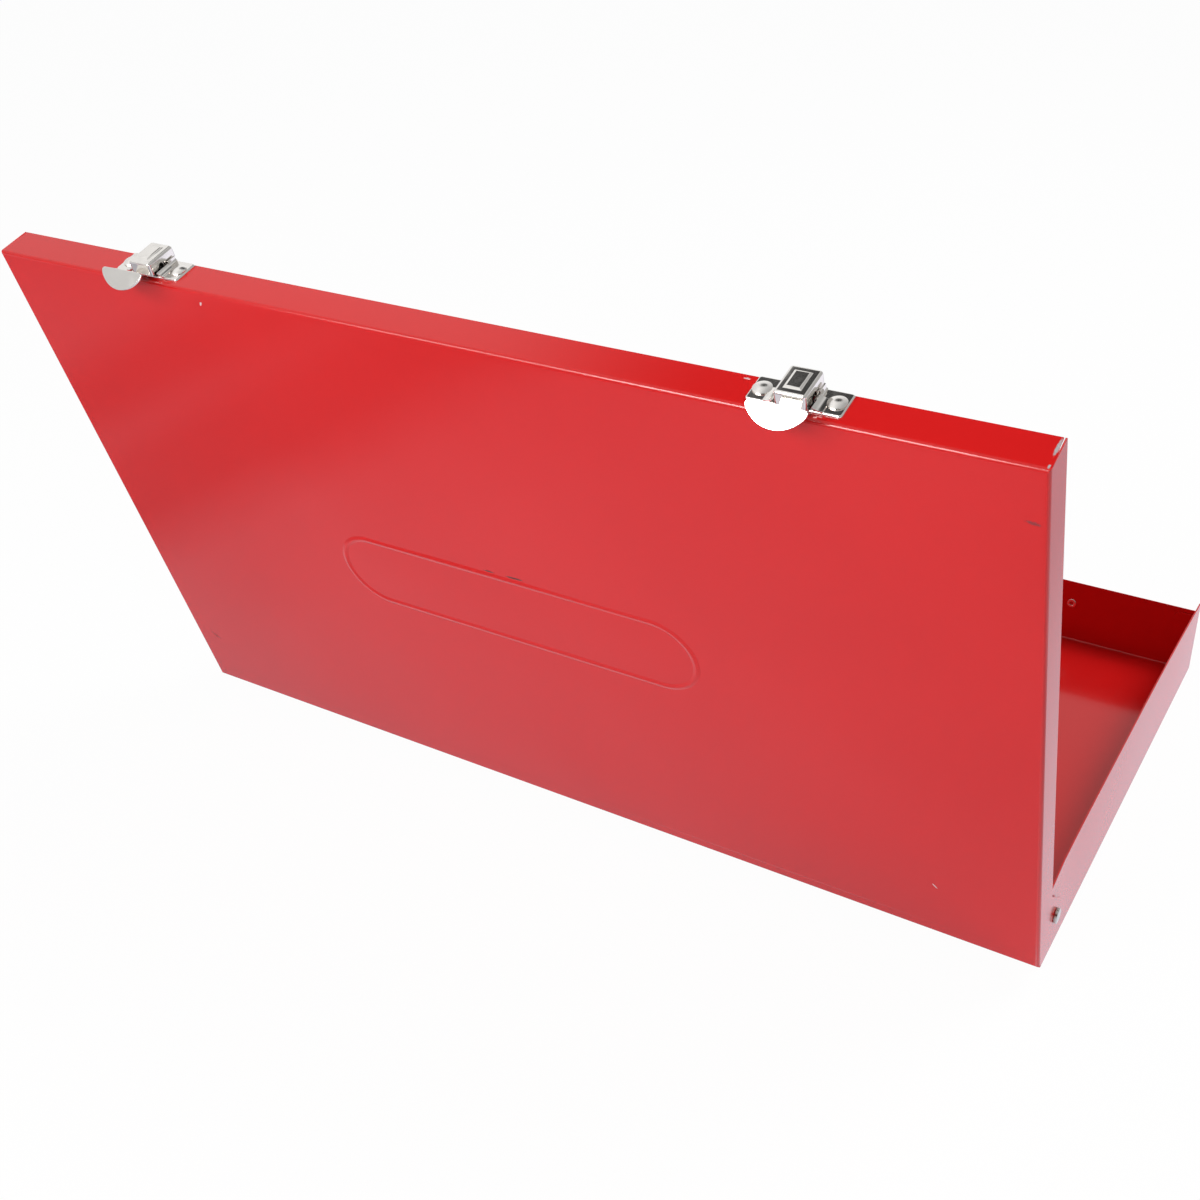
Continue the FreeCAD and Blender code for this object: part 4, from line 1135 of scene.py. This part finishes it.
for name, place in latch_places.items():
    piece = copy(claw, "latch_claw_" + name + "_pressed", (place, 0, 0))
    swing_open(piece)
    dress(piece, nickel, "claw_" + name, "claw_steel", "latch_claw_" + name)
bpy.data.objects.remove(claw)

# %% [markdown]
# The pin is a short tube that fills the claw's slot: a spun ring section. The springs under the claws and
# the washers in the hinges keep the model's shape, because hardly any of them shows, and get plain steel.

# %% Pins, springs and washers
PIN_HALF = 5.7
PIN_BORE = 1.35
PIN_RADIUS = 2.0
PIN_EDGE = 0.2
pin_section = [
    (-PIN_HALF, PIN_BORE), (-PIN_HALF, PIN_RADIUS - PIN_EDGE), (-PIN_HALF + PIN_EDGE, PIN_RADIUS),
    (PIN_HALF - PIN_EDGE, PIN_RADIUS), (PIN_HALF, PIN_RADIUS - PIN_EDGE), (PIN_HALF, PIN_BORE),
    (-PIN_HALF, PIN_BORE),
]
pin = turn("pin", pin_section, spot(0, PIN_OUT, PIN_UP), (1, 0, 0), (0, 0, 1), steps=28)
smooth(pin)
for name, place in latch_places.items():
    piece = copy(pin, "latch_pin_" + name + "_rolled", (place, 0, 0))
    swing_open(piece)
    # The pin's near-black steel is painted shade for the dark slot.
    dress(piece, pin_shade_steel, "lid", "pin_steel", "latch_pin_" + name)
bpy.data.objects.remove(pin)

kept_nodes = ["latch_spring_left", "latch_spring_right", "hinge_washer_left", "hinge_washer_right"]
for node in kept_nodes:
    nodes[node].data.materials.clear()
    nodes[node].data.materials.append(spring_steel)
print("kept from the model:", kept_nodes)

# %% [markdown]
# The keepers on the tray's front wall are what the claws catch: a riveted plate with a tongue that steps
# out and up to a nose. The plate gets clipped corners, and the tongue is drawn as a bent strip, extruded
# from bend to bend.

# %% Keepers
KEEPER_HALF = 23.0
KEEPER_LOW = 20.6
KEEPER_HIGH = 34.8
KEEPER_SHEET = 1.0
KEEPER_OUT = (lid_front - tray_front) / MM + KEEPER_SHEET
KEEPER_EDGE = 0.2
TONGUE_HALF = 4.5
TONGUE_BENDS = [(KEEPER_OUT - 0.5, 32.8), (1.6, 32.8), (2.0, 33.2), (2.0, 36.1), (2.4, 36.5), (4.5, 36.5)]

keeper_middle = (KEEPER_LOW + KEEPER_HIGH) / 2
keeper = start("keeper", bpy.ops.mesh.primitive_plane_add, spot(0, KEEPER_OUT, keeper_middle),
               (2 * KEEPER_HALF, 1, KEEPER_HIGH - KEEPER_LOW), size=MM, rotation=(math.pi / 2, 0, 0))
pick("points", everything)
bpy.ops.mesh.bevel(offset=CLIPPED_CORNER * MM, segments=4, affect="VERTICES")
close_mesh(outward=False)
modify(keeper, "SOLIDIFY", thickness=KEEPER_SHEET * MM, offset=-1.0)
tongue_places = [spot(-TONGUE_HALF, *bend) for bend in TONGUE_BENDS]
tongue = draw_path("tongue", tongue_places)
extrude((2 * TONGUE_HALF * MM, 0, 0))
close_mesh()
modify(tongue, "SOLIDIFY", thickness=KEEPER_SHEET * MM, offset=0.0, use_even_offset=True)
for part in (keeper, tongue):
    ease_edges(part, KEEPER_EDGE, 3)
join(keeper, tongue)
smooth(keeper)
for name, place in latch_places.items():
    piece = copy(keeper, "keeper_" + name + "_pressed", (place, 0, 0))
    dress(piece, nickel, "base", "plate_steel", "keeper_" + name)
bpy.data.objects.remove(keeper)

# %% [markdown]
# The keepers are held by the same kind of rivet as the latch plates, so its section is used again. The
# ring-shaped set ends show inside the tray.

# %% Keeper rivets
KEEPER_RIVET_ACROSS = 18.0
KEEPER_RIVET_UP = 27.7
keeper_rivet = turn("keeper_rivet", latch_section, spot(0, KEEPER_OUT - PLATE_SHEET, KEEPER_RIVET_UP),
                    (0, -1, 0), (0, 0, 1))
smooth(keeper_rivet)
for name, place in latch_places.items():
    outward = math.copysign(1, place)
    for which, side in (("outer", outward), ("inner", -outward)):
        node = "keeper_rivet_" + name + "_" + which
        rivet = copy(keeper_rivet, node + "_turned", (place + side * KEEPER_RIVET_ACROSS * MM, 0, 0))
        dress(rivet, satin_nickel, "base", "rivet_steel", node)
bpy.data.objects.remove(keeper_rivet)
